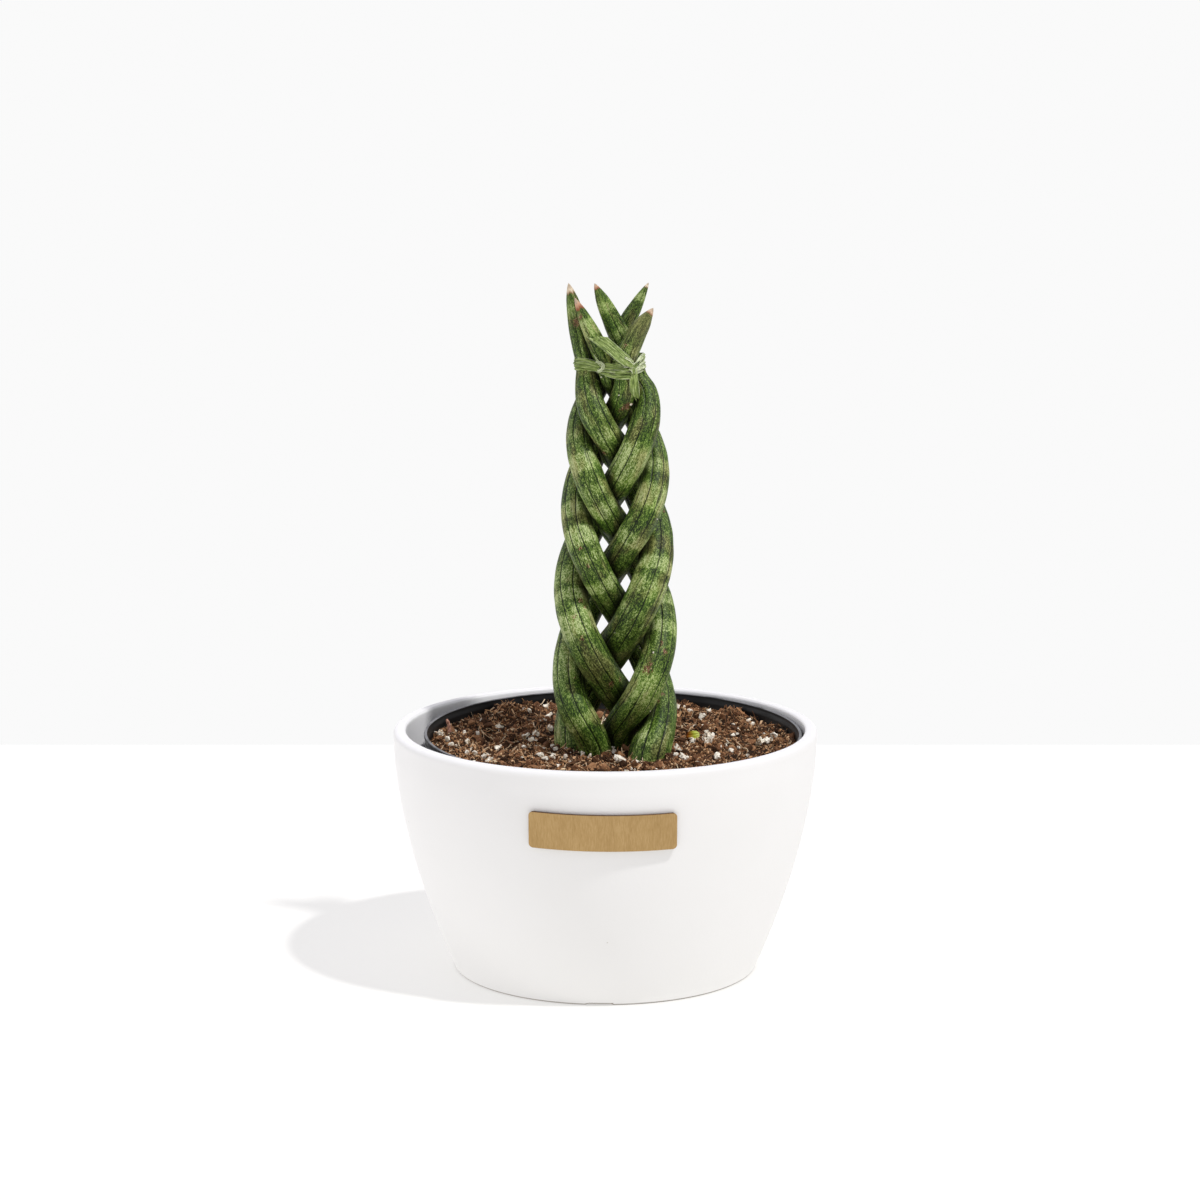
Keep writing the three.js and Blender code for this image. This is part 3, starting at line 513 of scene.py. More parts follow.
def raffia_leaf():
    """Dyed raffia palm strip: flat dry fibre, light green, with paler ribs along it and frayed pale edges."""
    material, tree, shader = new_material("green_raffia", Roughness=0.6, Specular_IOR_Level=0.3)
    along = add(tree, "ShaderNodeAttribute", attribute_name="strip").outputs["Vector"]
    edge = add(tree, "ShaderNodeAttribute", attribute_name="edge").outputs["Fac"]
    ribs = clouds(tree, stretched(tree, along, (1, 0.05, 1)), 2.6, 3.0, 0.65)
    worn = clouds(tree, stretched(tree, along, (1, 0.35, 1)), 1.1, 4.0, 0.7)
    tone = sum_of(tree, sum_of(tree, ribs, 0.65, "MULTIPLY"), sum_of(tree, worn, 0.35, "MULTIPLY"))
    colour = ramp(tree, tone, [(0.38, "#28330f"), (0.455, "#5c6f32"), (0.53, "#879a50"), (0.61, "#b3c184"),
                               (0.72, "#dce4bd")])
    bleached = sum_of(tree, edge, sum_of(tree, worn, 0.9, "MULTIPLY"))
    colour = mixed(tree, range_of(tree, bleached, 0.8, 1.4), colour, "#d3d9b8")
    tree.links.new(colour, shader.inputs["Base Color"])
    relief(tree, shader, ribs, 0.4, 1.0)
    return material


def plain(name, colours, scale, roughness, depth):
    """A small natural scrap: two colours that run into each other, and some grain."""
    material, tree, shader = new_material(name, Roughness=roughness, Specular_IOR_Level=0.3)
    place = add(tree, "ShaderNodeTexCoord").outputs["Object"]
    colour = mixed(tree, range_of(tree, clouds(tree, place, scale, 3.0), 0.4, 0.62), *colours)
    tree.links.new(colour, shader.inputs["Base Color"])
    relief(tree, shader, clouds(tree, place, 4 * scale, 3.0), depth, 0.7)
    return material


def scrap_of_leaf():
    """Dying bit of succulent leaf: still yellow green at one end, orange brown and drying at the other."""
    material, tree, shader = new_material("dying_leaf", Roughness=0.55, Specular_IOR_Level=0.3)
    strip_at = add(tree, "ShaderNodeAttribute", attribute_name="strip").outputs["Vector"]
    along = add(tree, "ShaderNodeSeparateXYZ", {0: strip_at}).outputs["Y"]
    place = add(tree, "ShaderNodeTexCoord").outputs["Object"]
    blotches = clouds(tree, place, 700, 3.0)
    turning = sum_of(tree, along, sum_of(tree, blotches, 1.6, "MULTIPLY"))
    colour = ramp(tree, sum_of(tree, turning, 7.5, "DIVIDE"), [
        (0.1, "#6e3a12"), (0.28, "#b0671f"), (0.44, "#a08f26"), (0.6, "#b2bc3c"), (0.95, "#d2d67c")])
    tree.links.new(colour, shader.inputs["Base Color"])
    relief(tree, shader, blotches, 0.15, 0.7)
    return material


def twig_bark():
    """Thin dead twig: dull pinkish brown bark, wrinkled along its length."""
    material, tree, shader = new_material("twig_bark", Roughness=0.85, Specular_IOR_Level=0.2)
    place = add(tree, "ShaderNodeTexCoord").outputs["Object"]
    wrinkles = clouds(tree, stretched(tree, place, (1, 1, 0.3)), 2200, 3.0)
    colour = ramp(tree, wrinkles, [(0.3, "#5e3d34"), (0.5, "#9c6f5e"), (0.7, "#c79e89")])
    tree.links.new(colour, shader.inputs["Base Color"])
    relief(tree, shader, wrinkles, 0.15, 0.8)
    return material


# ---- Camera ----

def make_camera():
    camera = in_scene("camera", bpy.data.cameras.new("camera"))
    camera.data.sensor_width = CAMERA["sensor"]
    camera.data.lens = CAMERA["focal"]
    camera.location = Vector(CAMERA["place"]) * MM
    camera.rotation_euler = (math.radians(90 - CAMERA["pitch"]), 0, 0)
    bpy.context.scene.camera = camera


def sight_line(pixel):
    """The direction from the camera through a pixel of the picture, counted from its top left corner."""
    focal = CAMERA["focal"] / CAMERA["sensor"] * IMAGE_SIDE
    across = float(pixel[0] - IMAGE_SIDE / 2) / focal
    up = float(IMAGE_SIDE / 2 - pixel[1]) / focal
    pitch = math.radians(CAMERA["pitch"])
    ahead = Vector((0, math.cos(pitch), -math.sin(pitch)))
    return (ahead + Vector((across, 0, 0)) + up * Vector((0, math.sin(pitch), math.cos(pitch)))).normalized()


def seen_at(tree, pixel):
    """The place on a surface that the camera sees at a pixel, in millimetres, and the face's number."""
    place, _, face, _ = tree.ray_cast(Vector(CAMERA["place"]), sight_line(pixel))
    return place, face


def surface(vertices, faces):
    return BVHTree.FromPolygons([Vector(v) for v in vertices], faces)


# ---- Pots and plate ----

def cover_radius(height):
    """How far the cover pot's outside is from its middle."""
    rise = min(max(height / COVER["lip_height"], 0), 1)
    flared = 1 - (1 - rise) ** COVER["flare"]
    return COVER["base_radius"] + (COVER["lip_radius"] - COVER["base_radius"]) * flared


def cover_pot():
    """The white cover pot, with a rounded lip and an air notch under its front edge."""
    wall, floor, foot = COVER["wall"], COVER["floor"], COVER["foot_round"]
    lip, radius, top = wall / 2, COVER["lip_radius"], COVER["lip_height"]
    profile = [(0, 0), (NOTCH["inner_radius"], 0), (cover_radius(0) - foot, 0)]
    profile += [(cover_radius(foot) - foot * (1 - math.sin(a)), foot * (1 - math.cos(a)))
                for a in np.linspace(0.4, math.pi / 2, 4)]
    for height in np.linspace(4, top - 0.6, 34):
        from_groove = height - top + COVER["groove_below"]
        dip = COVER["lip_groove"] * math.exp(-(from_groove / COVER["groove_reach"]) ** 2)
        profile.append((cover_radius(height) - dip, height))
    for a in np.linspace(0, math.pi, 21):
        power = COVER["lip_outside"] if a < math.pi / 2 else COVER["lip_inside"]
        side = math.copysign(abs(math.cos(a)) ** power, math.cos(a))
        profile.append((radius - lip + lip * side, top + lip * math.sin(a) ** power))
    profile += [(cover_radius(height) - wall, height) for height in np.linspace(top - 3, floor + 6, 24)]
    corner = cover_radius(floor) - wall
    profile += [(corner - 0.4, floor + 3), (corner - 2, floor + 0.9), (corner - 5, floor), (0, floor)]
    pot = turned("cover_pot", profile, COVER["sides"], matt_glaze())
    # Painted shade: the lowest millimetre of the pot and the notch's edge are marked to be greyed as a
    # contact shadow.
    bare = []
    for vertex in pot.data.vertices:
        x, y, z = vertex.co / MM
        under_edge = y < -NOTCH["inner_radius"] - 1 and NOTCH["left"] <= x <= NOTCH["right"]
        bare.append(min(max(1.5 - 1.6 * z, 0), 1))
        if under_edge and z < NOTCH["height"]:
            vertex.co.z = NOTCH["height"] * MM
            bare[-1] = 2.5
    paint(pot, "foot", bare)
    # The inside of the wall is marked to be painted lighter, as painted light, and to be glossier.
    across = [math.hypot(vertex.co.x, vertex.co.y) / MM for vertex in pot.data.vertices]
    paint(pot, "inside", [float(r < cover_radius(vertex.co.z / MM) - 0.93 * wall)
                          for r, vertex in zip(across, pot.data.vertices)])
    return belongs(pot, "white_ceramic", "outer_pot")


def name_plate():
    """The blank brass plate: a rounded rectangle bent round the pot's front, with softened edges."""
    half, tall, corner = PLATE["width"] / 2, PLATE["height"] / 2, PLATE["corner"]
    outline = []
    for quarter, (sx, sz) in enumerate([(1, 1), (-1, 1), (-1, -1), (1, -1)]):
        for step in range(9):
            angle = math.pi / 2 * (quarter + step / 8)
            outline.append((sx * (half - corner) + corner * math.cos(angle),
                            sz * (tall - corner) + corner * math.sin(angle)))
    mesh = bmesh.new()
    face = mesh.faces.new([mesh.verts.new((x, 0, z)) for x, z in outline])
    front = bmesh.ops.extrude_face_region(mesh, geom=[face])["geom"]
    for vertex in front:
        if isinstance(vertex, bmesh.types.BMVert):
            vertex.co.y = -PLATE["thickness"]
    cuts = [((along, 0, 0), (1, 0, 0)) for along in np.linspace(-half + 1, half - 1, PLATE["bends"])]
    for place, way in cuts + [((0, 0, tall - PLATE["dark_edge"]), (0, 0, 1))]:
        everything = mesh.verts[:] + mesh.edges[:] + mesh.faces[:]
        bmesh.ops.bisect_plane(mesh, geom=everything, plane_co=place, plane_no=way)
    # Painted shade: the upper edge is marked to be painted dark brown.
    brown = mesh.verts.layers.float.new("brown")
    for vertex in mesh.verts:
        x, y, z = vertex.co
        vertex[brown] = float(z > tall - 0.5 * PLATE["dark_edge"])
        height = PLATE["middle"] + z - PLATE["tilt"] * x + PLATE["bow"] * ((x / half) ** 2 - 0.5)
        radius = cover_radius(height) + PLATE["clear"] - y
        angle = (x + PLATE["shift"]) / cover_radius(height) - math.pi / 2
        vertex.co = Vector((radius * math.cos(angle), radius * math.sin(angle), height)) * MM
    bmesh.ops.recalc_face_normals(mesh, faces=mesh.faces)
    plate = in_scene("brass_plate", as_mesh("brass_plate", mesh))
    plate.data.shade_smooth()
    plate.data.materials.append(antique_brass())
    bevel = plate.modifiers.new("softened_edge", "BEVEL")
    bevel.width = PLATE["bevel"] * MM
    bevel.segments = 3
    bevel.limit_method = "ANGLE"
    bevel.angle_limit = math.radians(40)
    bevel.harden_normals = True
    return belongs(plate, "antique_brass", "plate")


def leaned(points):
    """Leans places in the grower's pot the way its wall leans."""
    points = np.asarray(points, float)
    rise = GROWER["lean"][0] * (points[:, 0] - GROWER["shift"]) + GROWER["lean"][1] * points[:, 1]
    return points + np.outer(rise * points[:, 2] / GROWER["rim"], (0, 0, 1))


def grower_inside(height):
    """How far the inside of the grower's pot's tapering wall is from its middle."""
    rise = (height - GROWER["bottom"]) / (GROWER["shoulder"] - GROWER["bottom"])
    return GROWER["base_radius"] + (GROWER["shoulder_radius"] - GROWER["base_radius"]) * rise - GROWER["wall"]


def drilled(piece, places, height):
    """Cuts a drainage hole straight through a piece at each place."""
    bits = bmesh.new()
    radius = DRAIN["radius"] * MM
    half_side = Matrix.Rotation(math.pi / DRAIN["sides"], 4, "Z")  # keeps its corners off the floor's edges
    for place in places:
        moved = Matrix.Translation(Vector((*place, height)) * MM)
        bmesh.ops.create_cone(bits, cap_ends=True, segments=DRAIN["sides"], radius1=radius, radius2=radius,
                              depth=2 * radius, matrix=moved @ half_side)
    drill = in_scene("drill", as_mesh("drill", bits))
    cut = piece.modifiers.new("holes", "BOOLEAN")
    cut.operation, cut.solver, cut.object = "DIFFERENCE", "EXACT", drill
    piece.data = modified_mesh(piece)
    piece.modifiers.clear()
    bpy.data.objects.remove(drill)
    return piece


def grower_pot():
    """The black grower's pot: a thin tapering wall with drainage holes in its floor, a shoulder, and an
    upright collar with a rolled rim."""
    base, rim, collar = GROWER["base_radius"], GROWER["rim_radius"], GROWER["collar_inside"]
    bottom, top, shoulder = GROWER["bottom"], GROWER["rim"], GROWER["shoulder"]
    ledge, inner = GROWER["shoulder_radius"], rim - GROWER["rim_width"]
    floor, sides = bottom + GROWER["floor"], GROWER["sides"]
    profile = [
        (0, bottom), (base - 1.5, bottom), (base - 0.4, bottom + 0.4), (base, bottom + 1.5),
        (ledge, shoulder), (ledge + 0.4, shoulder + 0.6), (rim - 0.9, shoulder + 1.3),
        (rim - 0.35, shoulder + 1.9), (rim - 0.35, top - 1.6), (rim, top - 1.4), (rim, top - 0.4),
        (rim - 0.15, top - 0.1), (rim - 0.4, top), (inner + 0.25, top), (inner + 0.05, top - 0.15),
        (inner, top - 0.4), (inner, top - 0.9), (inner - 0.12, top - 1.4), (collar + 0.12, top - 2.6),
        (collar, top - 3.2), (collar, shoulder + 2.2), (grower_inside(shoulder), shoulder),
        (grower_inside(floor + 3), floor + 3), (grower_inside(floor) - 2, floor), (0, floor)]
    pot = turned("grower_pot", profile, sides, grower_plastic(), GROWER["shift"])
    places = leaned([vertex.co / MM for vertex in pot.data.vertices])
    pot.data.vertices.foreach_set("co", (places * MM).ravel())
    # Painted highlight: the top of the rim is marked to be painted light grey.
    painted_rim_highlight = np.zeros(len(places))
    for row, (radius, height) in enumerate(profile[1:-1]):
        if height > top - 0.2:
            painted_rim_highlight[1 + row * sides:1 + (row + 1) * sides] = 1
    paint(pot, "worn", painted_rim_highlight)
    holes = [(GROWER["shift"] + DRAIN["ring"] * math.cos(turn), DRAIN["ring"] * math.sin(turn))
             for turn in circle(DRAIN["count"])]
    return belongs(drilled(pot, holes, bottom), "black_plastic", "nursery_pot")


# ---- Leaves ----

def walked_round(level):
    """The corners of one ring, each next to the one before."""
    walk = [level[0]]
    while len(walk) < len(level):
        near = [edge.other_vert(walk[-1]) for edge in walk[-1].link_edges]
        walk.append(next(corner for corner in near if corner in level and corner not in walk))
    return np.array([corner.co for corner in walk]) / MM


def lined_up(ring, before):
    """Turns or flips a ring so that its corners stand in line with those of the ring before."""
    middle, goal = ring.mean(0), before - before.mean(0)
    options = [np.roll(way, turn, 0) for way in (ring, ring[::-1]) for turn in range(len(ring))]
    return min(options, key=lambda option: ((option - middle - goal) ** 2).sum())


def leaf_rings(node):
    """A leaf's tip and the rings of corners below it, read from its solid."""
    solid = bmesh.new()
    solid.from_mesh(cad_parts[node].data)
    bmesh.ops.remove_doubles(solid, verts=solid.verts, dist=WELD)
    solid.verts.index_update()
    tip = max(solid.verts, key=lambda corner: corner.co.z)
    place = np.array(tip.co) / MM
    seen, level, rings = {tip}, [tip], []
    while True:
        found = {edge.other_vert(corner) for corner in level for edge in corner.link_edges} - seen
        if len(found) < 3:
            break
        level = sorted(found, key=lambda corner: corner.index)
        seen |= found
        ring = walked_round(level)
        rings.append(lined_up(ring, rings[-1]) if rings else ring)
    solid.free()
    return place, np.array(rings)


def smooth_rings(tip, rings):
    """The rings without their flutes, with the valleys between them at the odd corners."""
    reach = np.linalg.norm(rings - rings.mean(1, keepdims=True), axis=2)
    if reach[:, 0::2].mean() < reach[:, 1::2].mean():
        rings, reach = np.roll(rings, 1, 1), np.roll(reach, 1, 1)
    beside = (np.roll(reach, 1, 1) + np.roll(reach, -1, 1)) / 2
    lift = np.clip(beside - reach, 0, GROOVE["lift"])
    lift[:, 0::2] = 0
    out = (rings - rings.mean(1, keepdims=True)) / reach[..., None]
    full = rings + out * lift[..., None]
    point = np.repeat(tip[None, None], rings.shape[1], 1)
    return np.concatenate([2 * point - full[:1], point, full, 2 * full[-1:] - full[-2:-1]])


def bumps(places, scale, seed):
    """Smooth noise from -1 to 1 at each place; scale is the size of its lumps in millimetres."""
    shift = Vector((seed * 37.1, seed * 11.7, seed * 5.3))
    return np.array([noise.noise(Vector(place) / scale + shift) for place in places])


def flute_lines(stations, flutes, number):
    """For each place of the skin: how far round the leaf it is, counted in corners of the solid, its place
    across its flute, and how much it lies in a groove."""
    valley = np.repeat(2 * np.arange(flutes) + 1, len(ACROSS_FLUTE))
    offset = np.tile(ACROSS_FLUTE, flutes)
    path = [(0, 0, s) for s in stations]
    wander = np.stack([bumps(path, 17, number * 20 + g) for g in range(flutes)], 1) * GROOVE["wander"]
    strength = np.stack([bumps(path, 24, number * 20 + g + 9) for g in range(flutes)], 1)
    strength = np.clip(1 + 1.1 * strength, 0.4, 1) * ease(3, 16, stations)[:, None]
    wander, strength = (np.repeat(values, len(ACROSS_FLUTE), 1) for values in (wander, strength))
    corner = (valley + offset) + wander * (1 - np.abs(offset))
    return corner, offset, np.exp(-(offset / GROOVE["width"]) ** 2) * strength


def leaf_skin(node, number):
    """A leaf's smooth skin with a groove in each valley, and what its material needs to know."""
    tip, rings = leaf_rings(node)
    padded = smooth_rings(tip, rings)
    middles = padded.mean(1)
    along = travelled(middles[1:])
    length = along[-2]
    stations = np.concatenate([TIP_STEPS, np.arange(2.4, length, LEAF_STEP), [length]])
    places = 1 + np.interp(stations, along, np.arange(len(along)))
    fine = spline(padded, places)
    flutes = rings.shape[1] // 2
    around = len(ACROSS_FLUTE) * flutes
    corner, offset, line = flute_lines(stations, flutes, number)
    skin = np.stack([spline(ring, at, closed=True) for ring, at in zip(fine, corner)])
    middle = fine.mean(1, keepdims=True)
    out = skin - middle
    out /= np.maximum(np.linalg.norm(out, axis=2, keepdims=True), 1e-6)
    slack = ease(0.5, 14, stations)[:, None]
    sink = GROOVE["depth"] * line + GROOVE["flute"] * 0.5 * (1 + np.cos(np.pi * offset)) * slack
    dents = bumps(skin.reshape(-1, 3), DENT["size"], number).reshape(sink.shape) * DENT["depth"] * slack
    skin = skin - out * (sink - dents)[..., None]
    blunt = np.clip(stations / BLUNT["reach"], 0, 1) ** (BLUNT["power"] - 1)
    skin = middle + (skin - middle) * blunt[:, None, None]
    vertices = np.concatenate([skin.reshape(-1, 3), tip[None], skin[-1].mean(0)[None]])
    count = len(stations)
    hub, foot = count * around, count * around + 1
    faces = tube_faces(count, around, caps=False)
    faces += [(hub, (i + 1) % around, i) for i in range(around)]
    last = (count - 1) * around
    faces += [(foot, last + i, last + (i + 1) % around) for i in range(around)]
    angle = corner * math.pi / flutes
    depth, start = np.repeat(stations[:, None], around, 1), LEAVES_APART * number
    flat = np.stack([LEAF_GIRTH * np.cos(angle), LEAF_GIRTH * np.sin(angle), depth + start], 2)
    flat = np.concatenate([flat.reshape(-1, 3), [[0, 0, start], [0, 0, length + start]]])
    from_tip = np.concatenate([depth.ravel(), [0, length]])
    groove = np.concatenate([line.ravel(), [0, 0]])
    out = np.concatenate([out.reshape(-1, 3), [[0, 0, 1], [0, 0, -1]]])
    plain = {mark: np.zeros(len(vertices)) for mark in ("scar", "pale", "olive")}
    return {"node": node, "vertices": vertices, "faces": faces, "skin": flat, "from_tip": from_tip,
            "out": out, "groove": groove, **plain}


def crevices(leaves):
    """For each place on the leaves, how much of the air in front of it other leaves fill, from 0 to 1."""
    first = np.cumsum([0] + [len(leaf["vertices"]) for leaf in leaves])
    plait = surface(np.concatenate([leaf["vertices"] for leaf in leaves]),
                    [tuple(int(start + corner) for corner in face)
                     for start, leaf in zip(first, leaves) for face in leaf["faces"]])
    ways = 0.8 * np.array([(0, 0, 0), (0, 0, 1), (0, 0, -1), (1, 0, 0), (-1, 0, 0), (0, -1, 0), (0, 1, 0)])
    for leaf in leaves:
        filled = np.zeros(len(leaf["vertices"]))
        for way in ways:
            for i, (place, out) in enumerate(zip(leaf["vertices"] + 0.4 * leaf["out"], leaf["out"] + way)):
                met = plait.ray_cast(Vector(place), Vector(out), CREVICE)[3]
                filled[i] += 0 if met is None else 1 - met / CREVICE
        leaf["crevice"] = filled / len(ways)


# Corky scars, each at the pixel where the camera sees it, with its radius in millimetres.
SCARS = [((577, 322), 2.9), ((580, 317), 1.8), ((627, 407), 2.6), ((621, 410), 1.6), ((604, 453), 1.8),
         ((580, 548), 1.5), ((664, 511), 1.5), ((581, 600), 1.9), ((585, 607), 1.4), ((574, 617), 1.5),
         ((582, 638), 1.4), ((647, 669), 3.0), ((650, 664), 1.8), ((665, 652), 1.7), ((662, 643), 1.2),
         ((611, 684), 1.9), ((620, 679), 1.6), ((663, 694), 1.6), ((659, 701), 1.0), ((626, 346), 1.2),
         ((632, 620), 0.8), ((575, 677), 0.9), ((588, 566), 1.0), ((618, 661), 0.8), ((596, 722), 0.7)]

# Pale cross bands: the pixel of each one's middle, half its length along the leaf and how pale it is.
BANDS = [((573, 312), 3.2, 0.6), ((594, 326), 3.6, 1.0), ((609, 306), 2.6, 0.6), ((622, 333), 2.0, 0.5),
         ((642, 300), 1.8, 0.7), ((636, 353), 2.2, 0.4), ((586, 396), 3.2, 0.25), ((588, 421), 2.5, 0.3),
         ((603, 438), 2.6, 0.45), ((575, 411), 2.0, 0.4), ((572, 437), 2.2, 0.4), ((587, 461), 3.0, 1.0),
         ((600, 492), 2.0, 0.4), ((612, 509), 3.0, 0.65), ((630, 469), 7.5, 0.95), ((658, 466), 3.0, 0.8),
         ((648, 496), 4.4, 1.0), ((568, 510), 3.2, 0.8), ((585, 534), 3.2, 1.0), ((590, 560), 2.0, 0.4),
         ((611, 583), 2.4, 0.8), ((629, 541), 2.8, 0.85), ((657, 562), 2.4, 1.0), ((640, 586), 3.6, 0.6),
         ((628, 612), 1.6, 0.4), ((562, 577), 4.5, 0.5), ((580, 594), 2.4, 0.9), ((581, 621), 4.6, 0.85),
         ((668, 600), 2.6, 0.95), ((662, 625), 2.6, 1.0), ((645, 687), 5.0, 0.65), ((632, 692), 2.5, 0.6),
         ((564, 665), 8.0, 0.6), ((588, 719), 2.0, 0.85), ((563, 731), 4.5, 0.5), ((668, 684), 2.0, 0.4),
         ((660, 728), 2.2, 0.45), ((646, 712), 2.6, 0.45), ((655, 735), 3.5, 0.5)]

# The colour of each dry tip, from 0 for straw to 1 for rust, and its length.
TIPS = {"leaf_tall_left": (0.1, 4.4), "leaf_middle": (0.75, 2.6), "leaf_right_back": (0.0, 2.4),
        "leaf_left_front": (0.8, 5.2), "leaf_right_front": (0.35, 2.8)}


def met_by_camera(leaves, pixel):
    """The leaf that the camera sees at a pixel, the place on it and that place's distance from its tip."""
    eye = Vector(CAMERA["place"])
    hits = [(leaf, *seen_at(leaf["surface"], pixel)) for leaf in leaves]
    hits = [hit for hit in hits if hit[1] is not None]
    if not hits:
        return None
    leaf, place, face = min(hits, key=lambda hit: (hit[1] - eye).length)
    return leaf, np.array(place), leaf["from_tip"][leaf["faces"][face][0]]


def mark_leaves(leaves):
    """Gives the leaves their scars and pale bands."""
    for pixel, radius in SCARS:
        met = met_by_camera(leaves, pixel)
        if met:
            leaf, place, _ = met
            distance = np.linalg.norm(leaf["vertices"] - place, axis=1)
            leaf["scar"] = np.maximum(leaf["scar"], np.clip(1.25 - distance / radius, 0, 1))
    for pixel, half, strength in BANDS:
        met = met_by_camera(leaves, pixel)
        if met:
            leaf, _, middle = met
            away = np.abs(leaf["from_tip"] - middle) / half
            leaf["pale"] = np.maximum(leaf["pale"], strength * np.clip(1.5 - away, 0, 1))


def grow_leaves():
    """The five leaves with all that their material needs. Returns them for what lies on or round them."""
    leaves = [leaf_skin(node, number) for number, node in enumerate(LEAF_NAMES)]
    for leaf in leaves:
        leaf["surface"] = surface(leaf["vertices"], leaf["faces"])
    mark_leaves(leaves)
    crevices(leaves)
    short = leaves[LEAF_NAMES.index("leaf_right_front")]
    short["olive"] = 0.8 * (1 - ease(7, 24, short["from_tip"]))
    material = living_leaf()
    for leaf in leaves:
        rust, length = TIPS[leaf["node"]]
        leaf["rust"] = np.full(len(leaf["vertices"]), rust)
        leaf["dry"] = leaf["from_tip"] / length
        piece = mesh_piece(leaf["node"] + "_skin", leaf["vertices"], leaf["faces"], material)
        for name in ("skin", "dry", "rust", "groove", "scar", "pale", "olive", "crevice"):
            paint(piece, name, leaf[name])
        belongs(outward(piece), "leaf", leaf["node"])
    return leaves


# ---- Strips and tubes ----

def taut(points, step):
    """The same line with places every step, smoothly through its points."""
    fine = spline(points, np.linspace(0, len(points) - 1, 12 * len(points)))
    along = travelled(fine)
    return picked(fine, along, np.linspace(0, along[-1], max(4, round(along[-1] / step))))


def frame_of(points, outwards):
    """The directions along a line, across it and out of it at each of its places. Outwards is about which way
    it faces, as one direction or one for each place."""
    tangents = np.gradient(points, axis=0)
    tangents /= np.linalg.norm(tangents, axis=1, keepdims=True)
    across = np.cross(tangents, outwards)
    across /= np.linalg.norm(across, axis=1, keepdims=True)
    return tangents, across, np.cross(across, tangents)


def strip(points, outwards, widths, worn=0.0, torn=(0, 0), slant=0.0, seed=0, pleat=TIE["pleat"],
          thickness=TIE["thickness"]):
    """A flat closed strip along a line: pleated lengthwise, crinkled, and torn off raggedly at its ends.
    Worn is one number or one for each place, torn is the depth of the tears at each end, and slant is how
    much further one edge goes on at the far end."""
    chance = np.random.default_rng(seed)
    along = travelled(points)
    widths = np.interp(along, np.linspace(0, along[-1], len(widths)), widths)
    tangents, across, out = frame_of(points, outwards)
    share = np.linspace(-1, 1, TIE["columns"])
    folds = max(1, round(widths.mean() / TIE["fold"]))
    flat = np.stack(np.broadcast_arrays(share * widths[:, None] / 2, along[:, None] / 4, 20 * seed), 2)
    wave = pleat * np.cos(math.pi * folds * share + seed + 0.12 * along[:, None])
    wave = wave + 1.3 * pleat * bumps(flat.reshape(-1, 3), 1.3, 70 + seed).reshape(flat.shape[:2])
    half = thickness / 2 * np.sqrt(np.clip(1.12 - share ** 4, 0, 1))
    tears = [chance.uniform(0, depth, len(share)) for depth in torn]
    from_end = along[-1] - along
    shift = (tears[1] + slant * (1 - share) / 2) * np.clip(1 - from_end[:, None] / 5, 0, 1) ** 2
    shift = shift - tears[0] * np.clip(1 - along[:, None] / 2, 0, 1) ** 2
    middle = points[:, None] + across[:, None] * flat[..., :1] + tangents[:, None] * shift[..., None]
    front = middle + out[:, None] * (wave + half)[..., None]
    back = middle + out[:, None] * (wave - half)[..., None]
    count, around = len(points), 2 * len(share)
    vertices = np.concatenate([front, back[:, ::-1]], 1).reshape(-1, 3)
    sides = np.concatenate([share, share[::-1]])
    marks = np.stack(np.broadcast_arrays(sides * widths[:, None] / 2, along[:, None], 11 * seed), 2)
    edge = np.clip(np.abs(sides) ** 8 * 0.65 + np.broadcast_to(worn, count)[:, None], 0, 1)
    return vertices, tube_faces(count, around), marks.reshape(-1, 3), edge.ravel()


def tube(points, radii, sides=6):
    """A round closed tube along a line, with its radius at each place."""
    radii = np.interp(np.linspace(0, 1, len(points)), np.linspace(0, 1, len(radii)), radii)
    _, across, out = frame_of(points, (0.1, -1.0, 0.2))
    angles = circle(sides)
    ring = across[:, None] * np.cos(angles)[:, None] + out[:, None] * np.sin(angles)[:, None]
    vertices = (points[:, None] + ring * radii[:, None, None]).reshape(-1, 3)
    marks = np.repeat(np.stack([radii, radii, np.arange(len(points))], 1), sides, 0)
    return vertices, tube_faces(len(points), sides), marks, np.full(len(vertices), 0.35)


def gathered(name, parts, material, slot, *nodes):
    """Joins strips and tubes into one piece."""
    vertices, faces, first = np.concatenate([part[0] for part in parts]), [], 0
    for part in parts:
        faces += [tuple(first + corner for corner in face) for face in part[1]]
        first += len(part[0])
    piece = outward(mesh_piece(name, vertices, faces, material))
    paint(piece, "strip", np.concatenate([part[2] for part in parts]))
    paint(piece, "edge", np.concatenate([part[3] for part in parts]))
    return belongs(piece, slot, *nodes)


def draped(surfaces, pixels, lift, slack=False):
    """A line seen through the given pixels, stretched over surfaces, or lying on them if it is slack."""
    eye = Vector(CAMERA["place"])
    fine = spline(np.array(pixels, float), np.linspace(0, len(pixels) - 1, 8 * len(pixels)))
    depths = []
    for pixel in fine:
        hits = [seen_at(tree, pixel)[0] for tree in surfaces]
        depths.append(min((hit.y for hit in hits if hit is not None), default=np.nan))
    depths = np.array(depths) - lift
    known = [i for i, depth in enumerate(depths) if not math.isnan(depth)]
    if not slack:
        hull = []
        for i in known:
            while len(hull) > 1 and ((depths[i] - depths[hull[-2]]) * (hull[-1] - hull[-2])
                                     <= (depths[hull[-1]] - depths[hull[-2]]) * (i - hull[-2])):
                hull.pop()
            hull.append(i)
        known = hull
    depths = np.interp(np.arange(len(fine)), known, depths[known])
    places = []
    for pixel, depth in zip(fine, depths):
        ray = sight_line(pixel)
        places.append(eye + ray * float((depth - eye.y) / ray.y))
    return np.array(places)


# ---- Tie ----

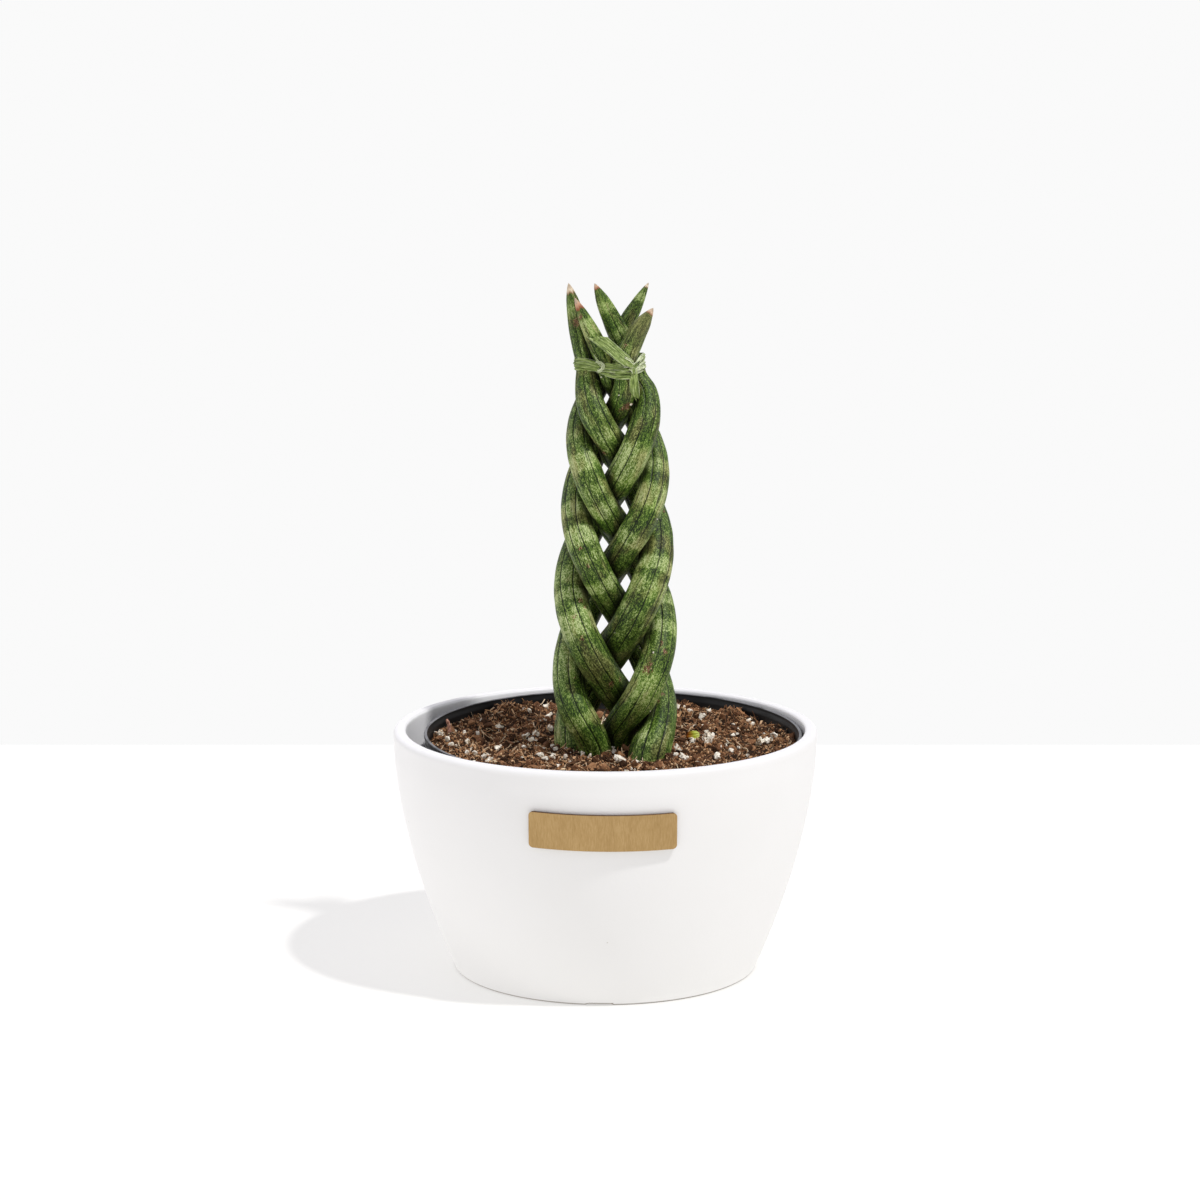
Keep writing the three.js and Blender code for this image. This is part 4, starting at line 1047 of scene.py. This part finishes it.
# Hoops that go from the knot round the back to the lump. Each one: the pixels it runs through on the right,
# then on the left, its width there, and how far it stands off.
HOOPS = [
    ([(633, 366), (638, 361), (642.5, 355.5)], [(575, 359.4), (583, 360.4), (590, 361.4), (600, 364.5)],
     2.3, 0.15),
    ([(634, 368), (640, 365.5), (646, 363.5)], [(575, 363.4), (585, 364.7), (600, 367.2)], 2.2, 0.35),
    ([(634, 372.5), (640, 371.3), (647, 368.5)], [(575, 367.7), (585, 368.7), (600, 370)], 2.0, 0.1),
    ([(634, 370), (640, 368), (647, 366)], [(575, 361.8), (583, 363), (600, 366)], 1.7, 0.5)]

# Strips in front: their pixels, widths in millimetres, how far they stand off, and how worn they are.
STRANDS = [
    ([(599, 365.5), (607, 365.5), (615, 366.4), (624, 368.5), (632, 369)], [1.9, 2.4, 2.1, 1.5, 1.2],
     0.45, 0.0),
    ([(598, 370.2), (606, 370.6), (614, 371.6), (622, 371.3), (631, 369.5)], [1.1, 1.2, 1.2, 1.3, 1.2],
     1.0, 0.4),
    ([(597, 371.3), (605, 373.4), (612, 375.9), (620, 377.3), (631, 377)], [0.9, 1.3, 1.8, 1.8, 1.6],
     0.55, 0.25),
    ([(604, 368.3), (614, 368.6), (622, 368.9), (630, 370.5)], [0.9, 1.0, 1.2, 1.0], 1.2, 0.2),
    ([(610, 373.2), (616, 373.7), (623, 374.2), (631, 374)], [0.7, 1.4, 1.5, 1.4], 0.8, 0.05),
    ([(612.5, 361.8), (620, 363.3), (629, 365.2)], [2.2, 2.5, 1.8], 1.1, 0.0),
    ([(625.5, 357.8), (630, 360), (633.3, 363.6)], [0.8, 1.1, 0.9], 2.4, 0.75),
    ([(624, 366.6), (629, 366), (633, 366.7), (636.5, 370.5)], [0.8, 1.5, 1.8, 1.4], 2.3, 0.7),
    ([(640, 361.3), (636.5, 364.5), (633.3, 368.2), (633.6, 373)], [1.2, 2.0, 2.3, 2.2], 2.5, 0.35),
    ([(637.5, 375.5), (634, 371.5), (630, 368.5)], [1.2, 1.9, 1.3], 2.0, 0.3),
    ([(634.5, 369.8), (638.3, 366.6), (641.8, 363), (643.6, 358.2)], [1.5, 2.2, 2.2, 1.4], 0.9, 0.6),
    ([(594.2, 355.5), (596.5, 359), (599.5, 363.5), (602.4, 366.6)], [0.4, 0.8, 1.1, 0.9], 1.3, 0.55),
    ([(602.8, 365.5), (602.2, 368.6), (599.6, 371.2), (596.6, 372.2)], [1.0, 1.2, 1.0, 0.5], 1.7, 0.7),
    ([(596, 362), (600.3, 362.4), (603.6, 365.5), (604, 369)], [0.5, 0.9, 1.0, 0.7], 1.8, 0.65),
    ([(595.5, 368.5), (600, 370), (604, 371.2)], [0.6, 1.0, 0.7], 1.4, 0.6)]

# The two cut ends: as above, then how deep they are torn, how slanting, and the way they face.
TAILS = [
    ([(633.3, 364.8), (627.5, 361.6), (618.5, 354.8), (610, 347.6), (602.5, 341.5)],
     [2.6, 5.0, 5.5, 5.6, 6.0], 2.5, 0.0, 0.7, 7.4, (0.4, -1.0, 0.25)),
    ([(634, 367.5), (634, 374), (634.1, 382), (634.6, 390), (634.8, 396)],
     [2.4, 3.2, 3.9, 4.1, 3.9], 1.7, 0.0, 0.9, 1.6, (0.15, -1.0, 0.1))]

# Loose fibres, and one pale strand that is a painted highlight: their pixels, their thickness and how far
# they stand off.
THREADS = [
    ([(594, 341), (595.6, 337), (596.2, 333.4)], 0.42, 1.7),
    ([(599, 340), (600.5, 338.2), (604, 338)], 0.25, 1.9),
    ([(593.8, 354), (591.5, 351.5), (591, 349.5)], 0.16, 0.9),
    ([(597.5, 358), (595.4, 355), (595.8, 352.6)], 0.18, 1.2),
    ([(634.5, 397), (636, 399.5), (636.6, 401.6)], 0.36, 1.6),
    ([(599.5, 372), (599.8, 375), (600.6, 377.4)], 0.26, 1.0),
    ([(596.4, 379.5), (598.6, 381.4), (599.4, 384)], 0.1, 0.7),
    ([(624, 366.4), (621.5, 365.6), (620, 364)], 0.16, 1.6),
    # Painted highlight: this pale strand stands for the highlight along the left edge of the front left leaf.
    ([(583.6, 326), (586, 332), (588.6, 337), (590.5, 341)], 0.3, 0.25)]


def girdle(leaves):
    """The taut line round the leaves, anticlockwise from above: its places and its outward directions."""
    near = np.concatenate([leaf["vertices"] for leaf in leaves])
    near = near[np.abs(near[:, 2] - TIE["height"]) < TIE["reach"]][:, :2]
    corners = near[geometry.convex_hull_2d([Vector(place) for place in near])]
    following = np.roll(corners, -1, 0)
    if (corners[:, 0] * following[:, 1] - corners[:, 1] * following[:, 0]).sum() < 0:
        corners = corners[::-1]
    loop = np.concatenate([corners, corners[:1]])
    along = travelled(loop)
    places = picked(loop, along, np.arange(0, along[-1], TIE["step"]))
    ways = np.roll(places, -2, 0) - np.roll(places, 2, 0)
    for _ in range(3):
        ways = (np.roll(ways, 1, 0) + ways + np.roll(ways, -1, 0)) / 3
    outwards = np.stack([ways[:, 1], -ways[:, 0]], 1)
    return places, outwards / np.linalg.norm(outwards, axis=1, keepdims=True)


def column_of(place):
    """The column of the picture in which the camera sees a place."""
    x, y, z = np.array(place) - CAMERA["place"]
    pitch = math.radians(CAMERA["pitch"])
    ahead = y * math.cos(pitch) - z * math.sin(pitch)
    return IMAGE_SIDE / 2 + CAMERA["focal"] / CAMERA["sensor"] * IMAGE_SIDE * x / ahead


def height_at(place, row):
    """How high above a place on the ground the camera sees a row of the picture."""
    ray = sight_line((column_of((*place, TIE["height"])), row))
    return CAMERA["place"][2] + ray.z * (place[1] - CAMERA["place"][1]) / ray.y


def hoop(places, outwards, right, left, width, lift, number):
    """One turn of the tie, from the knot round the back to the lump."""
    columns = np.array([column_of((*place, TIE["height"])) for place in places])
    front = np.flatnonzero(outwards[:, 1] < FACES_FRONT)
    first = front[np.argmin(np.abs(columns[front] - right[0][0]))]
    last = front[np.argmin(np.abs(columns[front] - left[-1][0]))]
    order = (first + np.arange((last - first) % len(places) + 1)) % len(places)
    place, out = places[order] + outwards[order] * lift, outwards[order]
    controls = {}
    for pixels, half in ((right, range(len(order) // 2)), (left, range(len(order) // 2, len(order)))):
        facing = [i for i in half if out[i, 1] < 0.05]
        for column, row in pixels:
            at = min(facing, key=lambda i: abs(columns[order[i]] - column))
            controls[at] = height_at(place[at], row)
    controls[len(order) // 2] = TIE["back"] + TIE["spread"] * (1.2 - number)
    known = sorted(controls)
    heights = np.interp(np.arange(len(order)), known, [controls[i] for i in known])
    heights = np.convolve(np.pad(heights, 3, "edge"), np.ones(7) / 7, "valid")
    line = np.concatenate([place, heights[:, None]], 1)
    out = np.concatenate([out, np.zeros((len(out), 1))], 1)
    worn = np.interp(np.arange(len(line)) * TIE["step"], WEAR["distances"], WEAR["worn"])
    return strip(line, out, [0.7 * width, width, width, width, width, 0.75 * width], worn, seed=number + 1)


def bind_leaves(leaves):
    """The raffia tie: four hoops, a worn lump at the left, a knot at the right, and its two cut ends."""
    surfaces = [leaf["surface"] for leaf in leaves]
    places, outwards = girdle(leaves)
    columns = np.array([column_of((*place, TIE["height"])) for place in places])
    front = sorted(np.flatnonzero(outwards[:, 1] < FACES_FRONT), key=lambda i: columns[i])

    def facing(line):
        """The way a strip faces at each place of its line, as the girdle does behind it."""
        seen = [column_of(place) for place in line]
        ways = [np.interp(seen, columns[front], outwards[front, axis]) for axis in (0, 1)]
        return np.stack([ways[0] * 0.7, ways[1], np.full(len(line), 0.12)], 1)

    parts = [hoop(places, outwards, *plan, number) for number, plan in enumerate(HOOPS)]
    for number, (pixels, widths, lift, worn) in enumerate(STRANDS):
        line = taut(draped(surfaces, pixels, lift), TIE["step"])
        parts.append(strip(line, facing(line), widths, worn, (0.5, 0.5), seed=number + 10))
    for number, (pixels, widths, lift, worn, torn, slant, way) in enumerate(TAILS):
        line = taut(draped(surfaces, pixels, lift), TIE["step"])
        parts.append(strip(line, way, widths, worn, (0, torn), slant, number + 30, 0.6 * TIE["pleat"]))
    for pixels, thickness, lift in THREADS:
        line = taut(draped(surfaces, pixels, lift), 0.4)
        parts.append(tube(line, [thickness, 0.8 * thickness, 0.4 * thickness]))
    gathered("raffia_tie", parts, raffia_leaf(), "raffia", "tie")


# ---- Soil ----

def soil_height(x, y):
    """The soil's surface without its crumbs: a sloping plane with heaps at the wall."""
    height = SOIL["level"] + SOIL["slope"][0] * x + SOIL["slope"][1] * y
    for middle, reach, tall in HEAPS:
        height = height + heap(x, y, middle, reach, tall)
    return height


def on_the_ground(pixel):
    """The place at the soil's mean level that the camera sees at a pixel."""
    ray = sight_line(pixel)
    place = Vector(CAMERA["place"]) + ray * ((SOIL["level"] - CAMERA["place"][2]) / ray.z)
    return place.x, place.y


def soil_top():
    """The rough surface of the soil: its places ring by ring, the first one in the middle."""
    radii = np.linspace(0, SOIL["radius"], SOIL["rings"] + 1)[1:]
    angles = circle(SOIL["sides"])
    x = GROWER["shift"] + np.concatenate([[0], np.outer(radii, np.cos(angles)).ravel()])
    y = np.concatenate([[0], np.outer(radii, np.sin(angles)).ravel()])
    flat = np.stack([x, y, np.zeros(len(x))], 1)
    z = soil_height(x, y)
    for number, (size, tall) in enumerate(ROUGHNESS):
        z = z + tall * bumps(flat, size, 50 + number)
    for pixel, reach, tall in HOLLOWS:
        z = z + heap(x, y, on_the_ground(pixel), reach, tall)
    return np.stack([x, y, z], 1)


def soil_body(top):
    """The body of the soil below its surface, closed at its sides and bottom. Returns the surface's faces."""
    sides, bottom, shoulder = SOIL["sides"], SOIL["bottom"], GROWER["shoulder"]
    sunk = [(SOIL["radius"], shoulder + 2.5), (grower_inside(shoulder) - 0.6, shoulder),
            (grower_inside(bottom + 3) - 0.6, bottom + 3), (grower_inside(bottom) - 3, bottom)]
    under = [(GROWER["shift"] + r * math.cos(a), r * math.sin(a), z) for r, z in sunk for a in circle(sides)]
    vertices = np.concatenate([top, leaned(under), [[GROWER["shift"], 0, bottom]]])
    rings = SOIL["rings"] + len(sunk)
    faces = [(0, 1 + i, 1 + (i + 1) % sides) for i in range(sides)]
    faces += [tuple(1 + corner for corner in face) for face in tube_faces(rings, sides, caps=False)]
    last, hub = 1 + (rings - 1) * sides, len(vertices) - 1
    faces += [(hub, last + (i + 1) % sides, last + i) for i in range(sides)]
    peat = potting_mix()
    body = outward(mesh_piece("soil_body", vertices, faces, peat))
    paint(body, "tone", 0.35 + 0.3 * bumps(vertices, 5, 61))
    belongs(body, "potting_mix", "soil")
    return [face for face in faces if max(face) < len(top)]


def uncovered(top, leaves):
    """1 where crumbs may lie on the soil's surface, and 0 inside the leaves and round the scraps."""
    bare = np.ones(len(top))
    for leaf in leaves:
        near = leaf["vertices"][np.abs(leaf["vertices"][:, 2] - SOIL["level"]) < 3]
        middle = near[:, :2].mean(0)
        girth = np.linalg.norm(near[:, :2] - middle, axis=1).mean()
        bare[np.linalg.norm(top[:, :2] - middle, axis=1) < girth - 0.5] = 0
    for node, clear in CLEARINGS.items():
        middle = np.mean(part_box(node), 0)[:2] / MM
        bare[np.linalg.norm(top[:, :2] - middle, axis=1) < clear] = 0
    return bare


def fill_pot(leaves):
    """The soil with its crumbs, clods, fibres, bark and perlite. Returns its surface for what lies on it."""
    top = soil_top()
    faces = soil_body(top)
    bare = uncovered(top, leaves)
    crumb = potting_mix_crumb()
    clod = potting_mix("peat_clod", ("#160d07", "#3f2a1b", "#755138", "#ab815c"))
    for name, material in {"soil_crumbs": crumb, "soil_clods": clod, "soil_fibres": coir_fibre(),
                           "soil_bark": coir_fibre()}.items():
        strew(name, top, faces, bare, STREWN[name], material)
    ground = surface(top, faces)
    grains = perlite_places(ground, top, bare)
    strew("soil_perlite", grains, [], np.ones(len(grains)), STREWN["soil_perlite"], perlite_grain())
    return ground


# What lies on the soil: its shape, how many there are on a square millimetre (0 where their places are
# given), the smallest and the largest size, how far each one tilts, in radians, and how far it is bent out of
# shape, in millimetres, in how many waves to the metre.
STREWN = {
    "soil_crumbs": {"shape": "crumb", "amount": 0.405, "smallest": 0.2, "largest": 0.85, "tilt": 3.1,
                    "warp": 0.7, "waves": 900, "seed": 3},
    "soil_clods": {"shape": "grain", "amount": 0.03, "smallest": 0.6, "largest": 2.2, "tilt": 3.1,
                   "warp": 2.2, "waves": 800, "seed": 31},
    "soil_fibres": {"shape": "fibre", "amount": 0.315, "smallest": 1.6, "largest": 6.0, "tilt": 0.6,
                    "warp": 2.4, "waves": 170, "seed": 8},
    "soil_bark": {"shape": "chip", "amount": 0.02, "smallest": 0.6, "largest": 1.9, "tilt": 0.7,
                  "warp": 0.7, "waves": 500, "seed": 15},
    "soil_perlite": {"shape": "grain", "amount": 0, "smallest": 0.5, "largest": 1.3, "tilt": 3.1,
                     "warp": 2.6, "waves": 800, "seed": 21},
}

# Clumps of perlite: the pixel where the camera sees each one, and its radius.
CLUMPS = [((442, 735), 1.5), ((448, 742), 1.3), ((453, 746), 1.4), ((466, 744), 1.4), ((465, 734), 0.9),
          ((497, 728), 1.6), ((502, 730), 1.2), ((526, 738), 1.8), ((530, 741), 1.2), ((537, 735), 1.6),
          ((499, 749), 1.7), ((478, 755), 1.0), ((485, 758), 1.6), ((489, 761), 1.2), ((525, 748), 1.1),
          ((540, 757), 1.6), ((545, 760), 1.1), ((554, 749), 1.5), ((545, 709), 1.3), ((529, 713), 1.0),
          ((540, 723), 0.8), ((551, 729), 1.1), ((547, 717), 0.9), ((553, 759), 1.1), ((470, 749), 0.8),
          ((676, 708), 1.5), ((690, 713), 1.1), ((703, 718), 1.2), ((709, 713), 0.9), ((749, 722), 1.0),
          ((733, 726), 0.8), ((704, 737), 1.3), ((709, 735), 1.6), ((707, 741), 1.9), ((693, 742), 1.4),
          ((712, 738), 1.3), ((761, 744), 2.4), ((766, 742), 1.4), ((774, 738), 1.3), ((683, 758), 1.5),
          ((688, 761), 1.2), ((718, 757), 1.5), ((677, 749), 1.2), ((673, 735), 0.9), ((556, 750), 1.4),
          ((571, 753), 1.0), ((583, 748), 0.8), ((617, 760), 2.0), ((623, 762), 1.3), ((722, 748), 0.7),
          ((673, 724), 1.0), ((680, 741), 0.8), ((736, 736), 0.8), ((731, 752), 1.0), ((697, 765), 1.0)]


def perlite_places(ground, top, bare):
    """Where single grains lie: close together in clumps, and a few by themselves."""
    chance = np.random.default_rng(5)
    centres = [(seen_at(ground, pixel)[0], radius) for pixel, radius in CLUMPS]
    centres = [(np.array(place), radius) for place, radius in centres if place is not None]
    free = top[(bare > 0) & (np.linalg.norm(top[:, :2], axis=1) < SOIL["radius"] - 3)]
    picks = chance.integers(0, len(free), STRAY["count"])
    centres += zip(free[picks], chance.uniform(STRAY["smallest"], STRAY["largest"], STRAY["count"]))
    grains = []
    for place, radius in centres:
        for _ in range(max(1, round(2.2 * radius ** 2))):
            away = chance.normal(0, 0.45 * radius, 3)
            grains.append(place + away * (1, 1, 0.6) + (0, 0, 0.3 + 0.25 * radius))
    return np.array(grains)


def shape_of(tree, kind):
    """The single shape that is strewn, about one millimetre across, or long, before its scale."""
    if kind in ("crumb", "grain"):
        ball = add(tree, "GeometryNodeMeshIcoSphere", {"Radius": MM, "Subdivisions": 1 + (kind == "grain")})
        return ball.outputs[0]
    if kind == "chip":
        block = add(tree, "GeometryNodeMeshCube", {"Size": (2 * MM, 0.8 * MM, 0.35 * MM), "Vertices X": 4})
        return block.outputs[0]
    bow = add(tree, "GeometryNodeCurveQuadraticBezier", {
        "Resolution": 4, "Start": (-0.5 * MM, 0, 0), "Middle": (0, 0.3 * MM, 0.2 * MM),
        "End": (0.5 * MM, 0, 0)})
    round_wire = add(tree, "GeometryNodeCurvePrimitiveCircle", {"Resolution": 3, "Radius": 0.048 * MM})
    wire = add(tree, "GeometryNodeCurveToMesh", {
        "Curve": bow.outputs[0], "Profile Curve": round_wire.outputs[0], "Fill Caps": True})
    return wire.outputs[0]


def random_number(tree, low, high, seed, vector=False):
    kind, first = ("FLOAT_VECTOR", 0) if vector else ("FLOAT", 2)
    node = add(tree, "FunctionNodeRandomValue", {first: low, first + 1: high, "Seed": seed}, data_type=kind)
    return node.outputs[0 if vector else 1]


def strewing(plan, material):
    """The node tree that strews one kind of shape over a surface, or puts it at given points."""
    tree = bpy.data.node_groups.new("strewn_" + plan["shape"], "GeometryNodeTree")
    tree.interface.new_socket("Ground", in_out="INPUT", socket_type="NodeSocketGeometry")
    for label in ("Amount", "Smallest", "Largest", "Tilt", "Warp"):
        tree.interface.new_socket(label, in_out="INPUT", socket_type="NodeSocketFloat")
    tree.interface.new_socket("Strewn", in_out="OUTPUT", socket_type="NodeSocketGeometry")
    given = tree.nodes.new("NodeGroupInput").outputs
    seed = plan["seed"]
    instancing = {"Points": given["Ground"], "Instance": shape_of(tree, plan["shape"])}
    if plan["amount"]:
        bare = add(tree, "GeometryNodeInputNamedAttribute", {"Name": "bare"}, data_type="FLOAT").outputs[0]
        density = sum_of(tree, bare, given["Amount"], "MULTIPLY")
        spread = add(tree, "GeometryNodeDistributePointsOnFaces",
                     {"Mesh": given["Ground"], "Density": density, "Seed": seed})
        instancing |= {"Points": spread.outputs["Points"], "Rotation": spread.outputs["Rotation"]}
    size = random_number(tree, given["Smallest"], given["Largest"], seed + 1)
    stretch = random_number(tree, (0.6, 0.5, 0.4), (1.6, 1.1, 0.9), seed + 2, vector=True)
    scale = add(tree, "ShaderNodeVectorMath", {0: stretch, "Scale": size}, operation="SCALE")
    instancing["Scale"] = scale.outputs[0]
    placed = add(tree, "GeometryNodeInstanceOnPoints", instancing).outputs[0]
    turn = random_number(tree, (-1, -1, -3.14), (1, 1, 3.14), seed + 3, vector=True)
    lean = add(tree, "ShaderNodeCombineXYZ", {"X": given["Tilt"], "Y": given["Tilt"], "Z": 1.0}).outputs[0]
    turn = add(tree, "ShaderNodeVectorMath", {0: turn, 1: lean}, operation="MULTIPLY").outputs[0]
    placed = add(tree, "GeometryNodeRotateInstances", {"Instances": placed, "Rotation": turn}).outputs[0]
    placed = add(tree, "GeometryNodeStoreNamedAttribute",
                 {"Geometry": placed, "Name": "tone", "Value": random_number(tree, 0.0, 1.0, seed + 4)},
                 data_type="FLOAT", domain="INSTANCE").outputs[0]
    real = add(tree, "GeometryNodeRealizeInstances", {"Geometry": placed}).outputs[0]
    waves = add(tree, "ShaderNodeTexNoise", {"Scale": plan["waves"], "Detail": 1.0}).outputs["Color"]
    push = add(tree, "ShaderNodeVectorMath", {0: waves, 1: (0.5, 0.5, 0.5)}, operation="SUBTRACT").outputs[0]
    push = add(tree, "ShaderNodeVectorMath", {0: push, "Scale": given["Warp"]}, operation="SCALE").outputs[0]
    real = add(tree, "GeometryNodeSetPosition", {"Geometry": real, "Offset": push}).outputs[0]
    smooth = add(tree, "GeometryNodeSetShadeSmooth",
                 {"Geometry": real, "Shade Smooth": plan["shape"] == "fibre"}).outputs[0]
    done = add(tree, "GeometryNodeSetMaterial", {"Geometry": smooth, "Material": material}).outputs[0]
    tree.links.new(done, tree.nodes.new("NodeGroupOutput").inputs[0])
    return tree


def strew(name, places, faces, bare, plan, material):
    """Strews crumbs, fibres, chips or grains and keeps them as a plain piece of the soil."""
    ground = mesh_piece(name + "_ground", places, faces, material)
    paint(ground, "bare", bare)
    tree = strewing(plan, material)
    nodes = ground.modifiers.new("strewing", "NODES")
    nodes.node_group = tree
    per_square_metre = plan["amount"] / MM ** 2
    values = {"Amount": per_square_metre, "Smallest": plan["smallest"], "Largest": plan["largest"],
              "Tilt": plan["tilt"], "Warp": plan["warp"] * MM}
    for socket in tree.interface.items_tree:
        if socket.item_type == "SOCKET" and socket.in_out == "INPUT" and socket.name in values:
            nodes[socket.identifier] = float(values[socket.name])
    graph = bpy.context.evaluated_depsgraph_get()
    mesh = bpy.data.meshes.new_from_object(ground.evaluated_get(graph), preserve_all_data_layers=True,
                                           depsgraph=graph)
    bpy.data.objects.remove(ground)
    mesh.name = name
    piece = bpy.data.objects.new(name, mesh)
    bpy.context.scene.collection.objects.link(piece)
    return belongs(piece, "potting_mix", "soil")


# ---- Small scraps ----

# Crumbs of perlite stuck on the leaves: the pixel of each one and its radius.
STUCK = [((619, 395.4), 0.32), ((653, 652.4), 0.42), ((640, 648), 0.25), ((657, 519), 0.3), ((650, 711), 0.3),
         ((637, 730), 0.3), ((600, 376), 0.5), ((631, 404), 0.6), ((615, 633), 0.2)]

# Straws on the soil: the pixels each one runs through, its width and its random seed.
STRAWS = [([(684, 729.5), (687.5, 728.6), (691, 730.6)], 0.9, 51), ([(682, 727), (683, 731)], 0.7, 52),
          ([(507, 742), (512, 744), (518, 743)], 0.6, 53), ([(728, 744), (734, 746)], 0.6, 54)]

# The straw that stands between the leaves.
UPRIGHT_STRAW = [(606.6, 708), (604.6, 714), (602.8, 719), (601.3, 724)]

# The way the twig bends: x and y in millimetres, then the share of the twig's height.
TWIG_BENDS = [(0.1, 0, 0.02), (0.1, 0, 0.3), (0.1, 0, 0.55), (-0.2, 0, 0.78), (-0.8, 0, 0.91),
              (-1.15, 0, 0.97)]


def small_grain(place, radius, chance):
    """One jagged grain as (vertices, faces, marks, edge), made of a ball with its corners pushed about."""
    ball = bmesh.new()
    bmesh.ops.create_icosphere(ball, subdivisions=1, radius=radius)
    vertices = np.array([corner.co * chance.uniform(0.65, 1.35) for corner in ball.verts]) + place
    faces = [tuple(corner.index for corner in face.verts) for face in ball.faces]
    ball.free()
    return vertices, faces, np.zeros((len(vertices), 3)), np.ones(len(vertices))


def box(node):
    """The lowest and the highest corner of a CAD node, in millimetres."""
    return [np.array(corner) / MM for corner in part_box(node)]


def stuck_crumbs(leaves):
    """Crumbs of perlite on the leaves, two by two."""
    chance = np.random.default_rng(12)
    grains = []
    for pixel, radius in STUCK:
        met = met_by_camera(leaves, pixel)
        if met:
            grains += [small_grain(met[1] + chance.normal(0, 0.3 * radius, 3) - (0, 0.3 * radius, 0),
                                   radius * size, chance) for size in (1, 0.6)]
    gathered("stuck_perlite", grains, perlite_grain(), "potting_mix", "soil")


def scatter_scraps(leaves, ground):
    """The straws, and the scrap of leaf and the twig that lie and stand on the soil."""
    line = taut(draped([leaf["surface"] for leaf in leaves], UPRIGHT_STRAW, 0.5), 0.4)
    straws = [strip(line, (0.3, -1.0, 0.1), [0.8, 1.1, 0.9, 0.5], 0, (0.6, 0.4), seed=50, pleat=0.08)]
    for pixels, width, seed in STRAWS:
        line = taut(draped([ground], pixels, 0, slack=True) + (0, 0, 0.7), 0.4)
        straws.append(strip(line, (0.0, -0.7, 1.0), [0.6 * width, width, 0.5 * width], 0, (0.4, 0.4),
                            seed=seed, pleat=0.08, thickness=0.2))
    straw = plain("dry_straw", ("#a58a5e", "#eadfc2"), 900, 0.7, 0.1)
    gathered("straws", straws, straw, "potting_mix", "soil")

    low, high = box("leaf_scrap")
    bend = np.linspace(-1, 1, 16)
    line = (low + high) / 2 + np.stack([2.75 * bend, 0.9 * bend ** 2 - 0.3, 0.35 * bend], 1)
    scrap = strip(line, (0.0, -1.0, 0.25), [1.6, 3.2, 3.9, 3.8, 3.3, 1.8], 0, (0.2, 0.2), seed=60,
                  pleat=0.22, thickness=0.5)
    gathered("leaf_scrap_skin", [scrap], scrap_of_leaf(), "pale_leaf", "leaf_scrap")

    low, high = box("twig")
    foot = np.array([(low[0] + high[0]) / 2 + 0.4, (low[1] + high[1]) / 2, low[2]])
    line = taut(foot + np.array(TWIG_BENDS) * (1, 1, high[2] - low[2]), 0.35)
    radii = 0.72 + 0.12 * bumps(line, 1.3, 90)
    radii[-3:] *= (0.9, 0.7, 0.35)
    gathered("twig_skin", [tube(line, radii, 12)], twig_bark(), "bark", "twig")


# ---- Stage, light and end ----

def set_stage():
    """A pale floor that ends behind the pot, even white light and a high sun-like lamp at the right front."""
    material, tree, shader = new_material("pale_floor", Roughness=0.8, Specular_IOR_Level=0.1)
    shader.inputs["Base Color"].default_value = (0.4, 0.395, 0.38, 1)
    shader.inputs["Emission Color"].default_value = (1, 0.992, 0.97, 1)
    seen = add(tree, "ShaderNodeLightPath").outputs["Is Camera Ray"]
    glow = add(tree, "ShaderNodeMix", {0: seen, 2: FLOOR["bounce"], 3: FLOOR["glow"]}).outputs[0]
    tree.links.new(glow, shader.inputs["Emission Strength"])
    far, near, side = 434, -2600, 2600
    corners = [(-side, near, 0), (side, near, 0), (side, far, 0), (-side, far, 0)]
    mesh_piece("floor", corners, [(0, 1, 2, 3)], material, smooth=False)

    world = bpy.data.worlds.new("white_room")
    bpy.context.scene.world = world
    world.use_nodes = True
    tree = world.node_tree
    seen = add(tree, "ShaderNodeLightPath").outputs["Is Camera Ray"]
    way = add(tree, "ShaderNodeSeparateXYZ", {0: add(tree, "ShaderNodeTexCoord").outputs["Generated"]})
    height = range_of(tree, way.outputs["Z"], 0.0, 0.75)
    lit = add(tree, "ShaderNodeMix", {0: height, 2: WORLD["horizon"], 3: WORLD["zenith"]}).outputs[0]
    aside = sum_of(tree, 1.0, sum_of(tree, way.outputs["X"], WORLD["left_boost"], "MULTIPLY"), "SUBTRACT")
    aside = sum_of(tree, aside, sum_of(tree, way.outputs["Y"], WORLD["back_boost"], "MULTIPLY"))
    lit = sum_of(tree, lit, aside, "MULTIPLY")
    strength = add(tree, "ShaderNodeMix", {0: seen, 2: lit, 3: WORLD["backdrop"]}).outputs[0]
    tree.links.new(strength, tree.nodes["Background"].inputs["Strength"])
    tint = ramp(tree, height, [(0.2, "#ffffff"), (0.9, "#f1f0fb")])
    tree.links.new(mixed(tree, seen, tint, "#ffffff"), tree.nodes["Background"].inputs["Color"])

    lamp = bpy.data.objects.new("key_lamp", bpy.data.lights.new("key_lamp", "SUN"))
    lamp.data.energy = SUN["strength"]
    lamp.data.angle = math.radians(SUN["spread"])
    lamp.rotation_euler = Vector(SUN["travel"]).to_track_quat("-Z", "Y").to_euler()
    bpy.context.scene.collection.objects.link(lamp)
    bpy.context.scene.view_settings.view_transform = "Standard"


make_camera()
set_stage()
cover_pot()
name_plate()
grower_pot()
leaves = grow_leaves()
bind_leaves(leaves)
ground = fill_pot(leaves)
stuck_crumbs(leaves)
scatter_scraps(leaves, ground)
